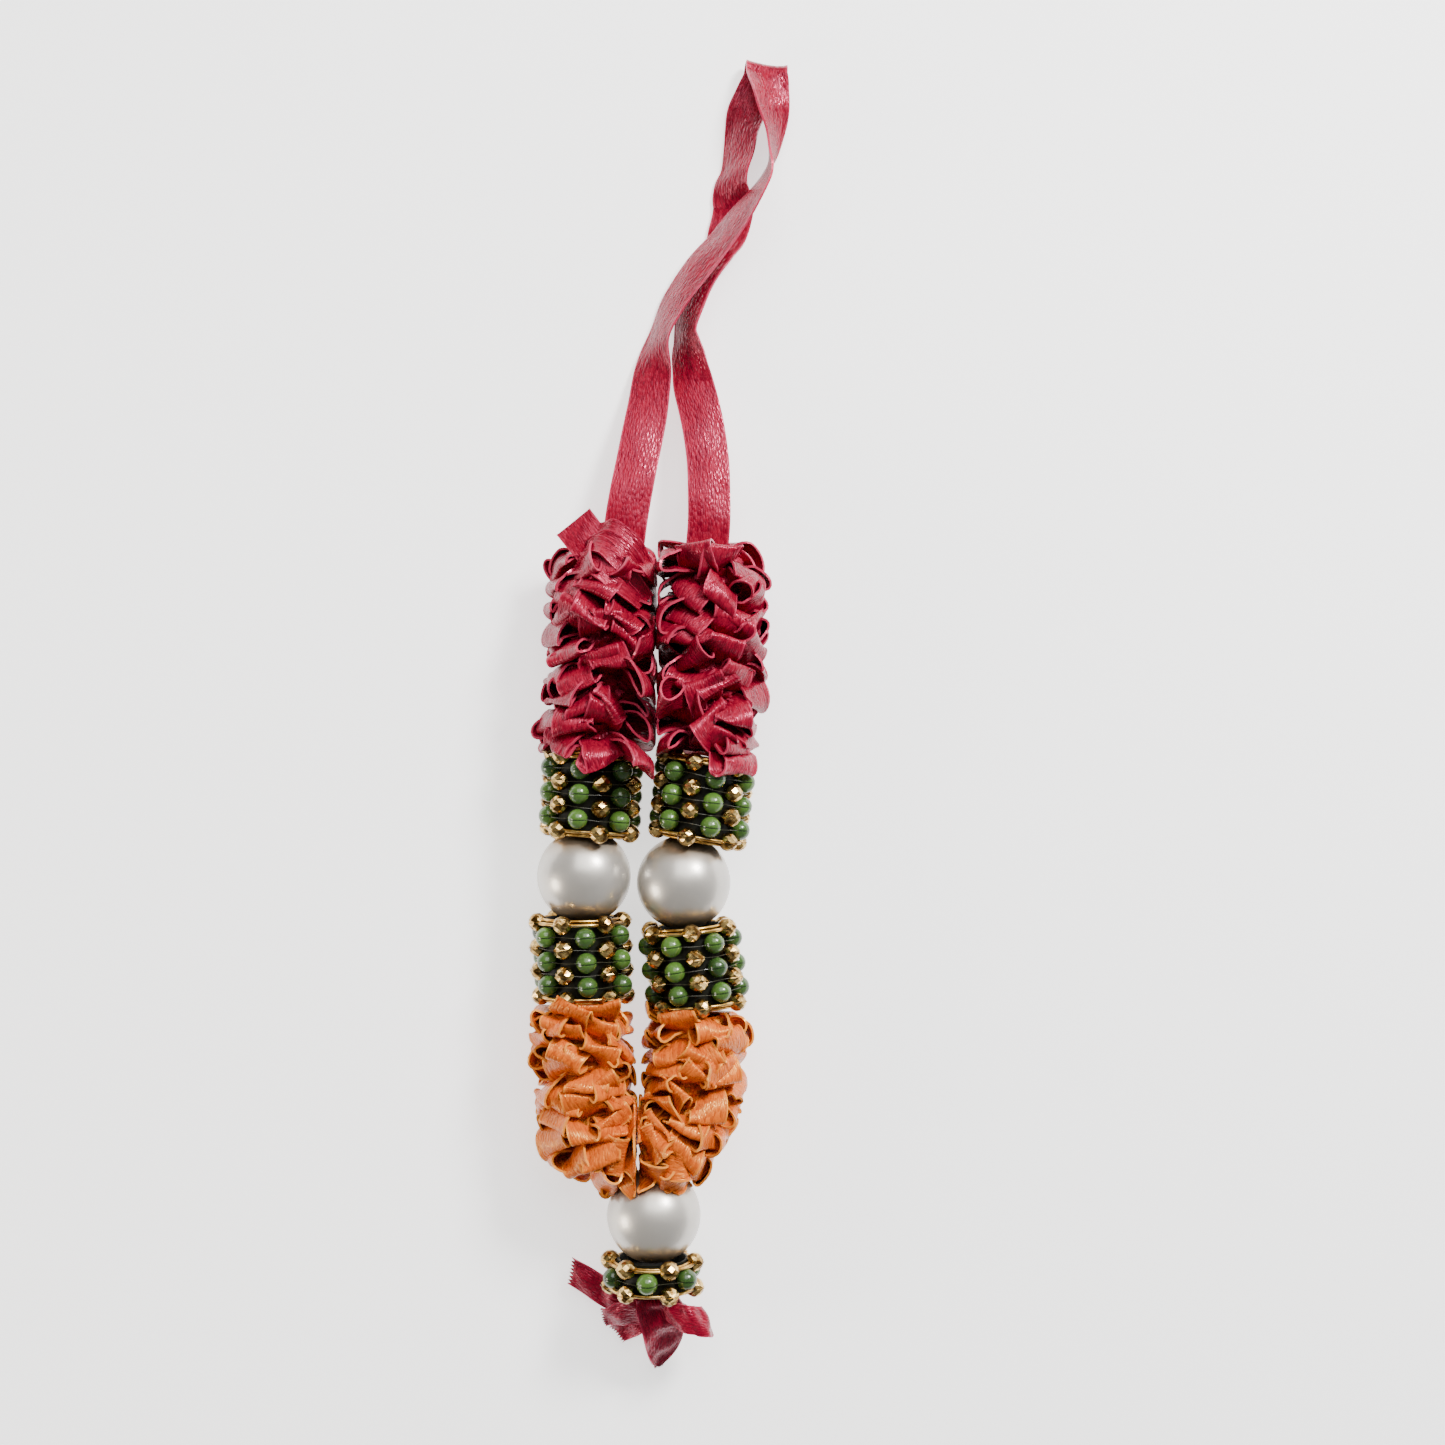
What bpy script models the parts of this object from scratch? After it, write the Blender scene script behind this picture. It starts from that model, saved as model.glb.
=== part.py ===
"""Pearl garland for a small shrine figure, lying face up on a table.

Two strands hang from one loop of narrow satin ribbon. Each strand is a red gathered
ruffle, a tube of small beads, a pearl, a second tube of beads and an orange gathered
ruffle. The orange ruffles bend towards each other above a third pearl, which carries a
short tube of beads and a tuft of red ribbon.

The garland lies on the plane z = 0, with its loop towards +Y. Every size below is in
millimetres, and MM turns it to metres as the meshes are written. Angles are in degrees.
"""

import math
import random

import bmesh
import bpy
from mathutils import Vector

MM = 0.001

# Driving sizes
PEARL_RADIUS = 7.0
BEAD_DIAMETER = 3.0
BEAD_RING_RADIUS = 6.3          # axis of the tube to the bead centres
ROW_PITCH = 3.65                # one gold row to the next
BEAD_COLUMNS = 12               # gold and green columns in turn
RIBBON_WIDTH = 6.3              # quarter-inch satin ribbon
RIBBON_THICKNESS = 1.0          # stands for the ribbon and its slight cupping
LAYER_PITCH = 3.3               # one fold of a ruffle to the next
FOLD_DEPTH = 2.5                # how far the grooves between the folds go in
SEAT_GAP = 0.35                 # clearance between touching pieces
AXIS_HEIGHT = 7.8               # strand axis above the table

# Where the middle of the garland's outline lies in the layout used below
CENTRE_X = -0.2
CENTRE_Y = 0.35

# Strand layout: bead tubes, with the tilt of the rows and of the axis, and the angle
# from the top of the tube to its first gold column.
TUBES = [
    # name, x, y, row tilt, axis tilt, first gold column, gold rows
    ("bead_tube_upper_left", -10.36, -11.7, -4, -3, 17, 4),
    ("bead_tube_upper_right", 6.1, -12.5, -10, -6, -14, 4),
    ("bead_tube_lower_left", -11.77, -36.25, 0, 3, -20, 4),
    ("bead_tube_lower_right", 4.9, -37.4, 5, 8, 5, 4),
    ("bead_tube_bottom", -1.27, -83.2, 0, 0, 25, 2),
]

PEARLS = [
    # name, x, y
    ("pearl_left", -11.45, -23.97),
    ("pearl_right", 3.4, -24.95),
    ("pearl_bottom", -1.04, -74.5),
]

# Ruffles: stations along the axis from the top end down. The tilt turns the plane of
# the folds about the vertical, so that it follows the axis round a bend.
RED_LEFT = [
    # x, y, radius, tilt
    (-8.2, 25.1, 7.6, 2),
    (-8.5, 17.0, 8.3, 0),
    (-9.0, 6.0, 8.3, -2),
    (-9.98, -4.4, 8.0, -4),
]
RED_RIGHT = [
    (7.45, 24.4, 7.4, -2),
    (7.6, 16.0, 8.1, 0),
    (7.4, 5.0, 8.1, -4),
    (6.87, -5.2, 7.9, -10),
]
ORANGE_LEFT_TOP = (-11.15, -43.5, 7.9, 0)
ORANGE_RIGHT_TOP = (5.5, -44.65, 7.9, 5)
ORANGE_RADIUS_LEFT = 7.9
ORANGE_RADIUS_RIGHT = 7.8
BEND_CENTRE = (-3.4, -57.2)
BEND_RADIUS = 7.6
BEND_REACH = 7.0                # how far a fold reaches inwards in the bend
RED_DIVIDE = -0.6               # x where the two red ruffles press together
ORANGE_DIVIDE = -3.4
ORANGE_HEIGHT = 7.6
BEND_CORE = 2.0                 # the folds stop this far from the centre of the bend

# Hanging ribbon: each leg from its ruffle up to the crease. The bank turns the ribbon
# about its own line, with the +X edge up, and the lift is its height over the table
# beyond what the bank needs.
LEG_LEFT = [
    # x, y, bank, lift
    (-5.6, 25.6, 0, 7.25),
    (-5.1, 29.4, 0, 7.4),
    (-4.2, 34.8, 2, 6.6),
    (-3.2, 40.2, 4, 5.0),
    (-2.2, 45.9, 8, 3.2),
    (-1.6, 51.2, 24, 1.2),
    (-1.2, 55.6, 48, 0.2),
    (-0.1, 59.0, 60, 0.1),
    (2.0, 63.1, 48, 0.7),
    (5.4, 67.7, 46, 1.8),
    (8.8, 71.6, 48, 2.4),
    (11.5, 75.0, 56, 3.5),
    (14.4, 78.9, 66, 4.0),
    (15.8, 81.9, 80, 2.4),
    (16.5, 85.0, 100, 1.4),
    (16.8, 88.6, 122, 1.5),
    (16.6, 92.2, 142, 2.3),
    (16.2, 95.3, 162, 2.4),
    (15.9, 97.6, 180, 2.4),
]
LEG_RIGHT = [
    (6.9, 24.9, 0, 7.25),
    (7.2, 29.1, 0, 7.4),
    (7.2, 33.4, 0, 6.8),
    (7.0, 38.2, 0, 5.7),
    (6.4, 42.9, 0, 4.5),
    (5.5, 47.1, 5, 3.2),
    (4.6, 50.7, 18, 1.4),
    (4.0, 53.5, 34, 0.4),
    (3.5, 56.2, 50, 0.1),
    (3.4, 59.0, 58, 0.1),
    (4.9, 64.1, 48, 0.1),
    (7.2, 68.4, 46, 0.1),
    (8.4, 70.4, 38, 0.1),
    (9.6, 72.6, 24, 0.1),
    (10.4, 75.0, 12, 0.1),
    (10.8, 77.3, 14, 0.1),
    (10.4, 79.0, 24, 0.1),
    (10.3, 80.6, 42, 0.1),
    (10.8, 82.6, 48, 0.1),
    (11.5, 85.6, 45, 0.1),
    (12.0, 89.0, 34, 0.1),
    (12.9, 92.2, 22, 0.1),
    (14.3, 95.1, 8, 0.1),
    (15.6, 97.6, 0, 0.05),
]
CREASE_HEADING = -6
CREASE_STEPS = 4
CREASE_BLEND = 8                # sections over which the legs turn to the crease

# Ribbon ends: a row for each station, with the width, and the heading and bank of the
# line across the ribbon.
CUT_END = [
    # x, y, z, width, heading, bank
    (-9.0, 23.0, 10.5, 5.4, 30, 0),
    (-10.6, 25.6, 11.0, 6.0, 36, 0),
    (-12.9, 28.6, 10.2, 6.3, 38, 4),
]
TUFT_STRIPS = [
    [   # tail that lies out to the left
        (-3.4, -88.8, 5.6, 3.4, 80, 15),
        (-6.6, -88.2, 4.4, 3.6, 76, 15),
        (-9.6, -86.7, 3.4, 3.8, 72, 10),
        (-13.7, -84.4, 2.6, 3.9, 80, 10),
    ],
    [   # upper small fold on the left
        (-2.5, -89.2, 8.0, 4.0, 96, 20),
        (-5.8, -89.6, 7.6, 3.8, 100, 26),
        (-8.6, -90.5, 5.6, 3.0, 104, 26),
    ],
    [   # lower small fold on the left
        (-1.6, -88.8, 4.8, 4.2, -48, 10),
        (-4.4, -91.6, 4.2, 3.8, -45, 12),
        (-6.6, -93.6, 2.9, 2.8, -42, 12),
    ],
    [   # pointed end in the middle
        (-0.6, -88.2, 8.6, 6.0, 6, 0),
        (0.3, -91.6, 7.6, 6.3, 12, -8),
        (0.2, -95.4, 5.2, 4.4, 16, -10),
        (-0.5, -98.2, 3.4, 1.4, 20, -10),
    ],
    [   # loop that rolls out to the right
        (1.6, -89.2, 9.6, 3.6, -76, 0),
        (4.6, -89.4, 10.9, 4.4, -74, 0),
        (6.9, -90.0, 9.2, 4.6, -70, 0),
        (6.6, -90.6, 6.4, 4.4, -66, 0),
        (3.6, -90.8, 5.2, 4.0, -64, 0),
    ],
]
TUFT_THICKNESS = 1.2
TUFT_CORE = (-1.2, -88.6, 7.6, 4.6, 1.9, 4.4)   # centre and half sizes
TUFT_CORE_SEGMENTS = 14

# Mesh density
RUFFLE_SIDES = 24
PEARL_SEGMENTS = 22
PEARL_RINGS = 12
BOOLEAN_MARGIN = 0.4

COLOURS = {
    # slot: (red, green, blue, roughness, metallic)
    "red_satin": (0.43, 0.012, 0.035, 0.42, 0.0),
    "orange_satin": (0.80, 0.22, 0.045, 0.42, 0.0),
    "beads": (0.09, 0.16, 0.05, 0.25, 0.0),
    "pearl": (0.72, 0.68, 0.60, 0.22, 0.0),
}


def material(slot):
    """The Principled material of one finish, made once."""
    found = bpy.data.materials.get(slot)
    if found:
        return found
    red, green, blue, roughness, metallic = COLOURS[slot]
    made = bpy.data.materials.new(slot)
    made.use_nodes = True
    shader = made.node_tree.nodes["Principled BSDF"]
    shader.inputs["Base Color"].default_value = (red, green, blue, 1.0)
    shader.inputs["Roughness"].default_value = roughness
    shader.inputs["Metallic"].default_value = metallic
    return made


def piece(name, points, faces, slot, smooth_angle=50):
    """A closed object from points in millimetres, shifted to the garland's origin."""
    mesh = bpy.data.meshes.new(name)
    origin = Vector((CENTRE_X, CENTRE_Y, 0.0))
    mesh.from_pydata([(Vector(p) - origin) * MM for p in points], [], faces)
    work = bmesh.new()
    work.from_mesh(mesh)
    bmesh.ops.recalc_face_normals(work, faces=work.faces)
    work.to_mesh(mesh)
    work.free()
    mesh.materials.append(material(slot))
    mesh.shade_smooth()
    mesh.set_sharp_from_angle(angle=math.radians(smooth_angle))
    made = bpy.data.objects.new(name, mesh)
    bpy.context.scene.collection.objects.link(made)
    return made


def join_by_boolean(target, tool, operation):
    """Adds a Boolean to the target, and hides the tool from the finished part."""
    change = target.modifiers.new(tool.name, "BOOLEAN")
    change.operation = operation
    change.object = tool
    change.solver = "EXACT"
    tool.hide_render = True
    tool.display_type = "WIRE"


def smoothstep(low, high, value):
    """0 below low, 1 above high, and a soft rise between them."""
    share = min(max((value - low) / (high - low), 0.0), 1.0)
    return share * share * (3.0 - 2.0 * share)


def spline(rows, share):
    """A Catmull-Rom value of every column, with share running from 0 to 1."""
    place = share * (len(rows) - 1)
    index = min(int(place), len(rows) - 2)
    t = place - index
    before = rows[max(index - 1, 0)]
    start = rows[index]
    end = rows[index + 1]
    after = rows[min(index + 2, len(rows) - 1)]
    return [
        0.5 * (2 * b + (c - a) * t + (2 * a - 5 * b + 4 * c - d) * t**2
               + (3 * b - 3 * c + d - a) * t**3)
        for a, b, c, d in zip(before, start, end, after)
    ]


def plan_vector(angle):
    """The unit vector at an angle from +X in the plane of the table."""
    turn = math.radians(angle)
    return Vector((math.cos(turn), math.sin(turn), 0.0))


def ring_faces(rings, sides, close_ends=True):
    """Quads between equal rings of points, with a fan on each end's centre point."""
    faces = []
    for ring in range(rings - 1):
        for side in range(sides):
            after = (side + 1) % sides
            low = ring * sides
            faces.append((low + side, low + after, low + sides + after, low + sides + side))
    if close_ends:
        first = rings * sides
        last = (rings - 1) * sides
        for side in range(sides):
            after = (side + 1) % sides
            faces.append((first, after, side))
            faces.append((first + 1, last + side, last + after))
    return faces


# Pearls

def pearl(name, x, y):
    """A moulded ball, its poles on the strand so that the thread hole is hidden."""
    points = []
    for ring in range(1, PEARL_RINGS):
        polar = math.pi * ring / PEARL_RINGS
        for segment in range(PEARL_SEGMENTS):
            around = 2 * math.pi * segment / PEARL_SEGMENTS
            points.append((
                x + PEARL_RADIUS * math.sin(polar) * math.cos(around),
                y + PEARL_RADIUS * math.cos(polar),
                AXIS_HEIGHT + PEARL_RADIUS * math.sin(polar) * math.sin(around),
            ))
    points.append((x, y + PEARL_RADIUS, AXIS_HEIGHT))
    points.append((x, y - PEARL_RADIUS, AXIS_HEIGHT))
    piece(name, points, ring_faces(PEARL_RINGS - 1, PEARL_SEGMENTS), "pearl", 60)


# Bead tubes

def bead_tube(name, x, y, row_tilt, axis_tilt, first_gold, gold_rows):
    """A sleeve of beads in staggered columns, each bead a peak in the sleeve's face.

    Gold and green columns alternate, and the green rows lie half a pitch from the gold
    ones. Both ends are hollowed, and a pearl's pole or a ruffle sits in the hollow.
    """
    bead = BEAD_DIAMETER / 2
    outer = BEAD_RING_RADIUS + bead
    valley = BEAD_RING_RADIUS + 0.1
    sides = 2 * BEAD_COLUMNS
    half_pitch = ROW_PITCH / 2
    rows = 2 * gold_rows - 1
    half_length = (rows - 1) / 2 * half_pitch + bead
    across = plan_vector(row_tilt)
    along = plan_vector(axis_tilt + 90)

    rings = [(half_length - 1.75, None, 4.7), (half_length - 0.7, None, 5.1),
             (half_length, None, 5.7), (half_length, None, 6.9)]
    for row in range(rows):
        rings.append(((rows - 1) / 2 * half_pitch - row * half_pitch, row, outer))
        if row < rows - 1:
            rings.append(((rows - 2) / 2 * half_pitch - row * half_pitch, None, valley))
    rings += [(-at, None, radius) for at, _, radius in reversed(rings[:4])]

    points = []
    middle = Vector((x, y, AXIS_HEIGHT))
    for at, row, radius in rings:
        for side in range(sides):
            column = side // 2
            reach = radius
            if row is not None:
                on_column = side % 2 == 0
                own_colour = column % 2 == row % 2
                reach = outer if on_column and own_colour else valley
            turn = math.radians(first_gold + 360 * side / sides)
            spoke = across * math.sin(turn) + Vector((0, 0, math.cos(turn)))
            points.append(middle + along * at + spoke * reach)
    hollow = half_length - 2.0
    points.append(middle + along * hollow)
    points.append(middle - along * hollow)
    piece(name, points, ring_faces(len(rings), sides), "beads", 35)


# Ruffles

def orange_stations(top, side, radius):
    """Stations of an orange ruffle: straight down, then a quarter turn inwards."""
    centre_x, centre_y = BEND_CENTRE
    bend_x = centre_x + side * BEND_RADIUS
    stations = [top, ((top[0] + bend_x) / 2, (top[1] + centre_y) / 2, radius, top[3] / 3)]
    for turned in (0, 30, 60, 90):
        angle = math.radians(turned)
        stations.append((
            centre_x + side * BEND_RADIUS * math.cos(angle) + side * SEAT_GAP / 2,
            centre_y - BEND_RADIUS * math.sin(angle),
            radius,
            -side * turned,
        ))
    return stations


def axis_length(stations):
    """Length of the line through the stations."""
    return sum(math.dist(a[:2], b[:2]) for a, b in zip(stations, stations[1:]))


def even_spacing(stations, count):
    """Shares of the spline that lie evenly along the ruffle's axis."""
    fine = 200
    places = [spline(stations, i / fine)[:2] for i in range(fine + 1)]
    travelled = [0.0]
    for a, b in zip(places, places[1:]):
        travelled.append(travelled[-1] + math.dist(a, b))
    shares = []
    for i in range(count + 1):
        target = travelled[-1] * i / count
        index = next(k for k, value in enumerate(travelled) if value >= target - 1e-9)
        shares.append(index / fine)
    return shares


def ruffle(name, stations, slot, seed, height, divide, side, bend=False):
    """Gathered ribbon: a stack of pressed folds round the strand's axis.

    Each fold is a wavy, scalloped layer with a groove on both sides. The folds flatten
    where they lie on the table, and where they meet the other strand at x = divide.
    """
    draw = random.Random(seed)
    layers = round(axis_length(stations) / LAYER_PITCH)
    shapes = [
        {
            "wave": draw.uniform(0, 2 * math.pi),
            "ripple": draw.uniform(0, 2 * math.pi),
            "petals": draw.choice((4, 5, 6)),
            "petal_turn": draw.uniform(0, 2 * math.pi),
            "size": draw.uniform(-0.25, 0.25),
        }
        for _ in range(layers)
    ]
    rings = []
    for layer in range(layers):
        rings += [(layer, 0.0), (layer, 0.30), (layer, 0.72)]
    rings.append((layers, 0.0))
    shares = even_spacing(stations, layers * 50)

    def drift(layer, turn):
        """How far a fold wanders along the axis at an angle round it."""
        shape = shapes[min(max(layer, 0), layers - 1)]
        return 0.5 * math.sin(2 * turn + shape["wave"]) + 0.25 * math.sin(3 * turn + shape["ripple"])

    points = []
    limit_x = divide + side * SEAT_GAP / 2
    for layer, within in rings:
        x, y, radius, tilt = spline(stations, shares[round((layer + within) * 50)])
        across = plan_vector(tilt)
        along = plan_vector(tilt - 90)
        centre = Vector((x, y, height))
        at_end = (layer == 0 and within == 0) or layer == layers
        for step in range(RUFFLE_SIDES):
            turn = 2 * math.pi * step / RUFFLE_SIDES
            free = 1 - smoothstep(0.55, 0.85, -math.cos(turn))
            if within == 0:
                reach = radius - FOLD_DEPTH * free
                move = 0 if at_end else (drift(layer - 1, turn) + drift(layer, turn)) / 2
            else:
                shape = shapes[layer]
                scallop = 0.5 - 0.5 * math.sin(shape["petals"] * turn + shape["petal_turn"])
                reach = radius + free * (shape["size"] - 1.1 * scallop)
                move = drift(layer, turn)
            inwards = -side * math.sin(turn) * (1 if bend else 0)
            near_bend = 1.0
            if bend and inwards > 0:
                # In the bend the planes of the folds meet at its centre
                gap = math.dist((x, y), BEND_CENTRE) if abs(tilt) > 1 else BEND_RADIUS
                limit = min(BEND_REACH, gap - BEND_CORE)
                reach = min(reach, limit / max(inwards, 0.5)) if inwards > 0.5 else reach
                near_bend = max(1 - inwards * reach / BEND_RADIUS, 0) ** 1.5
            spoke = across * math.sin(turn) + Vector((0, 0, math.cos(turn)))
            point = centre + spoke * reach + along * (move * free * near_bend)
            point.z = max(point.z, 0.0)
            point.x = max(point.x, limit_x) if side > 0 else min(point.x, limit_x)
            points.append(point)
    for x, y, _, _ in (stations[0], stations[-1]):
        points.append(Vector((x, y, height)))
    return piece(name, points, ring_faces(len(rings), RUFFLE_SIDES), slot)


# Ribbons

def strip_faces(count):
    """Faces of a flat bar of count four-cornered sections."""
    faces = [(0, 1, 2, 3), tuple(4 * (count - 1) + k for k in (3, 2, 1, 0))]
    for section in range(count - 1):
        for corner in range(4):
            a = 4 * section + corner
            b = 4 * section + (corner + 1) % 4
            faces.append((a, a + 4, b + 4, b))
    return faces


def strip(name, sections, thickness, slot):
    """A ribbon through sections of (centre, vector across, width)."""
    points = []
    count = len(sections)
    for index, (centre, across, width) in enumerate(sections):
        before = sections[max(index - 1, 0)][0]
        after = sections[min(index + 1, count - 1)][0]
        run = (after - before).normalized()
        normal = across.cross(run).normalized() * thickness / 2
        flat = across.normalized() * width / 2
        points += [centre - flat - normal, centre + flat - normal,
                   centre + flat + normal, centre - flat + normal]
    return piece(name, points, strip_faces(count), slot)


def table_strip(name, rows, thickness, slot, steps=2):
    """A ribbon end from its short table, with steps sections for each row."""
    sections = []
    count = (len(rows) - 1) * steps
    for index in range(count + 1):
        x, y, z, width, heading, bank = spline(rows, index / count)
        tipped = math.radians(bank)
        across = plan_vector(heading) * math.cos(tipped) + Vector((0, 0, math.sin(tipped)))
        sections.append((Vector((x, y, z)), across, width))
    return strip(name, sections, thickness, slot)


def leg_sections(rows, steps=2):
    """Sections of one leg of the hanging ribbon, from its ruffle to the crease."""
    rest = []
    for x, y, bank, lift in rows:
        tipped = math.radians(bank)
        clear = RIBBON_WIDTH / 2 * abs(math.sin(tipped))
        clear += RIBBON_THICKNESS / 2 * abs(math.cos(tipped))
        rest.append((x, y, clear + lift, bank))
    count = (len(rest) - 1) * steps
    places = [spline(rest, i / count) for i in range(count + 1)]
    sections = []
    for index, (x, y, z, bank) in enumerate(places):
        before = places[max(index - 1, 0)]
        after = places[min(index + 1, count)]
        heading = math.degrees(math.atan2(after[1] - before[1], after[0] - before[0])) - 90
        near = smoothstep(count - CREASE_BLEND, count, index)
        heading += (CREASE_HEADING - heading) * near
        tipped = math.radians(bank)
        across = plan_vector(heading) * math.cos(tipped) + Vector((0, 0, math.sin(tipped)))
        sections.append((Vector((x, y, z)), across, RIBBON_WIDTH))
    return sections


def hanging_ribbon():
    """One ribbon up the left leg, over the crease and down the right leg."""
    left = leg_sections(LEG_LEFT)
    right = leg_sections(LEG_RIGHT)
    top = left[-1][0]
    bottom = right[-1][0]
    middle = (top + bottom) / 2
    radius = (top - bottom).length / 2
    out = plan_vector(CREASE_HEADING + 90)
    across = left[-1][1]
    crease = []
    for step in range(1, CREASE_STEPS):
        angle = math.pi * step / CREASE_STEPS
        place = middle + out * radius * math.sin(angle) + (top - middle) * math.cos(angle)
        crease.append((place, across, RIBBON_WIDTH))
    back = [(place, -side, width) for place, side, width in reversed(right)]
    strip("hanging_ribbon", left + crease + back, RIBBON_THICKNESS, "red_satin")


# Tuft

def tuft():
    """Loops and cut ends of ribbon that come out of the lowest tube, as one piece."""
    x, y, z, half_x, half_y, half_z = TUFT_CORE
    points = []
    for depth, share in ((half_y, 0.55), (0.3 * half_y, 1.0), (-0.5 * half_y, 0.85)):
        for segment in range(TUFT_CORE_SEGMENTS):
            turn = 2 * math.pi * segment / TUFT_CORE_SEGMENTS
            points.append((x + half_x * share * math.sin(turn), y + depth,
                           z + half_z * share * math.cos(turn)))
    points += [(x, y + half_y, z), (x, y - half_y, z)]
    made = piece("ribbon_tuft", points, ring_faces(3, TUFT_CORE_SEGMENTS), "red_satin")
    for index, rows in enumerate(TUFT_STRIPS):
        end = table_strip(f"tuft_strip_{index}", rows, TUFT_THICKNESS, "red_satin")
        join_by_boolean(made, end, "UNION")
    join_by_boolean(made, clearance_below_tube(), "DIFFERENCE")


def clearance_below_tube():
    """A cutter as wide as the lowest bead tube, which keeps the tuft clear of it."""
    _, x, y, _, _, _, gold_rows = TUBES[-1]
    radius = BEAD_RING_RADIUS + BEAD_DIAMETER / 2 + SEAT_GAP
    end = y - ((gold_rows - 1) * ROW_PITCH + BEAD_DIAMETER) / 2 - SEAT_GAP
    sides = 20
    points = []
    for at in (end + 8.0, end):
        for side in range(sides):
            turn = 2 * math.pi * side / sides
            points.append((x + radius * math.sin(turn), at,
                           AXIS_HEIGHT + radius * math.cos(turn)))
    points += [(x, end + 8.0, AXIS_HEIGHT), (x, end, AXIS_HEIGHT)]
    return piece("tube_clearance", points, ring_faces(2, sides), "red_satin")


def main():
    for old in list(bpy.data.objects):
        bpy.data.objects.remove(old, do_unlink=True)

    hanging_ribbon()
    for row in TUBES:
        bead_tube(*row)
    for row in PEARLS:
        pearl(*row)

    red_left = ruffle("ruffle_red_left", RED_LEFT, "red_satin", 3, AXIS_HEIGHT, RED_DIVIDE, -1)
    cut_end = table_strip("cut_end", CUT_END, RIBBON_THICKNESS, "red_satin")
    join_by_boolean(red_left, cut_end, "UNION")
    ruffle("ruffle_red_right", RED_RIGHT, "red_satin", 8, AXIS_HEIGHT, RED_DIVIDE, 1)

    name, x, y = PEARLS[2]
    hollow = bpy.data.meshes.new("pearl_hollow")
    work = bmesh.new()
    bmesh.ops.create_uvsphere(work, u_segments=20, v_segments=12,
                              radius=(PEARL_RADIUS + BOOLEAN_MARGIN) * MM)
    work.to_mesh(hollow)
    work.free()
    cutter = bpy.data.objects.new("pearl_hollow", hollow)
    cutter.location = Vector((x - CENTRE_X, y - CENTRE_Y, AXIS_HEIGHT)) * MM
    bpy.context.scene.collection.objects.link(cutter)
    for name, top, seed, side, radius in (
        ("ruffle_orange_left", ORANGE_LEFT_TOP, 5, -1, ORANGE_RADIUS_LEFT),
        ("ruffle_orange_right", ORANGE_RIGHT_TOP, 12, 1, ORANGE_RADIUS_RIGHT),
    ):
        stations = orange_stations(top, side, radius)
        made = ruffle(name, stations, "orange_satin", seed, ORANGE_HEIGHT, ORANGE_DIVIDE,
                      side, bend=True)
        join_by_boolean(made, cutter, "DIFFERENCE")

    tuft()


main()
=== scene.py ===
import math
import random

import bpy
import numpy as np
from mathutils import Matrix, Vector


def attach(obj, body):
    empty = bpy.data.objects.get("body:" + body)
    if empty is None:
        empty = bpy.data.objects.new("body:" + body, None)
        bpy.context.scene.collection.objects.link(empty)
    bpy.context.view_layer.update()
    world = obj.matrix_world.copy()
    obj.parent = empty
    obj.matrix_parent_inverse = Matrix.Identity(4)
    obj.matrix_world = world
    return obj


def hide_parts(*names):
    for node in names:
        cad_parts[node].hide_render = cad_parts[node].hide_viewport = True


# Pearl garland: two strands of gathered satin ribbon, bead tubes and pearls on one hanging
# ribbon, lying face up on a pale table and seen from straight above.
#
# All sizes are in millimetres in the maker's layout, with +Y towards the hanging loop and
# the table at z = 0. add_piece() shifts them to the frame's origin and turns them to metres.

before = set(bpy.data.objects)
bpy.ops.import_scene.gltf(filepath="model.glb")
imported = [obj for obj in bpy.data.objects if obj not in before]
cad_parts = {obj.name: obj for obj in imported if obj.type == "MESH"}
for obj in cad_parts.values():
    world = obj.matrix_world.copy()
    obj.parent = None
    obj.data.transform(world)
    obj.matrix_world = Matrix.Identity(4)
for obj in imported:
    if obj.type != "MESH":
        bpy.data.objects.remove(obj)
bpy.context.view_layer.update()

MM = 0.001
LAYOUT_SHIFT = np.array((0.2, -0.35, 0.0))      # layout to the middle of the outline

# Driving sizes
PEARL_RADIUS = 7.0
BEAD_RADIUS = 1.5
BEAD_RING_RADIUS = 6.3          # axis of a tube to its bead centres
ROW_PITCH = 3.65                # one gold row to the next
BEAD_COLUMNS = 12               # gold and green columns in turn
RIBBON_WIDTH = 6.3              # quarter-inch satin ribbon
RIBBON_THICKNESS = 0.22
SELVEDGE_THICKNESS = 0.34       # the woven edge is a little fuller
EDGE_HIGHLIGHT_FROM = 0.34            # a painted highlight along the edge begins this far in from it
EDGE_HIGHLIGHT_FULL = 0.10            # and is strongest here
AXIS_HEIGHT = 7.8               # strand axis above the table

FLOAT_LENGTH = 0.85             # a satin float, along the ribbon
YARN_WIDTH = 0.30               # a warp yarn, drawn wider than the real 0.15 so that it shows

TUBES = [
    # name, x, y, row tilt, axis tilt, first gold column, gold rows
    ("bead_tube_upper_left", -10.36, -11.7, -4, -3, 17, 4),
    ("bead_tube_upper_right", 6.1, -12.5, -10, -6, -14, 4),
    ("bead_tube_lower_left", -11.77, -36.25, 0, 3, -20, 4),
    ("bead_tube_lower_right", 4.9, -37.4, 5, 8, 5, 4),
    ("bead_tube_bottom", -1.27, -83.2, 0, 0, 25, 2),
]

PEARLS = [
    # name, x, y
    ("pearl_left", -11.45, -23.97),
    ("pearl_right", 3.4, -24.95),
    ("pearl_bottom", -1.04, -74.5),
]

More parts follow.
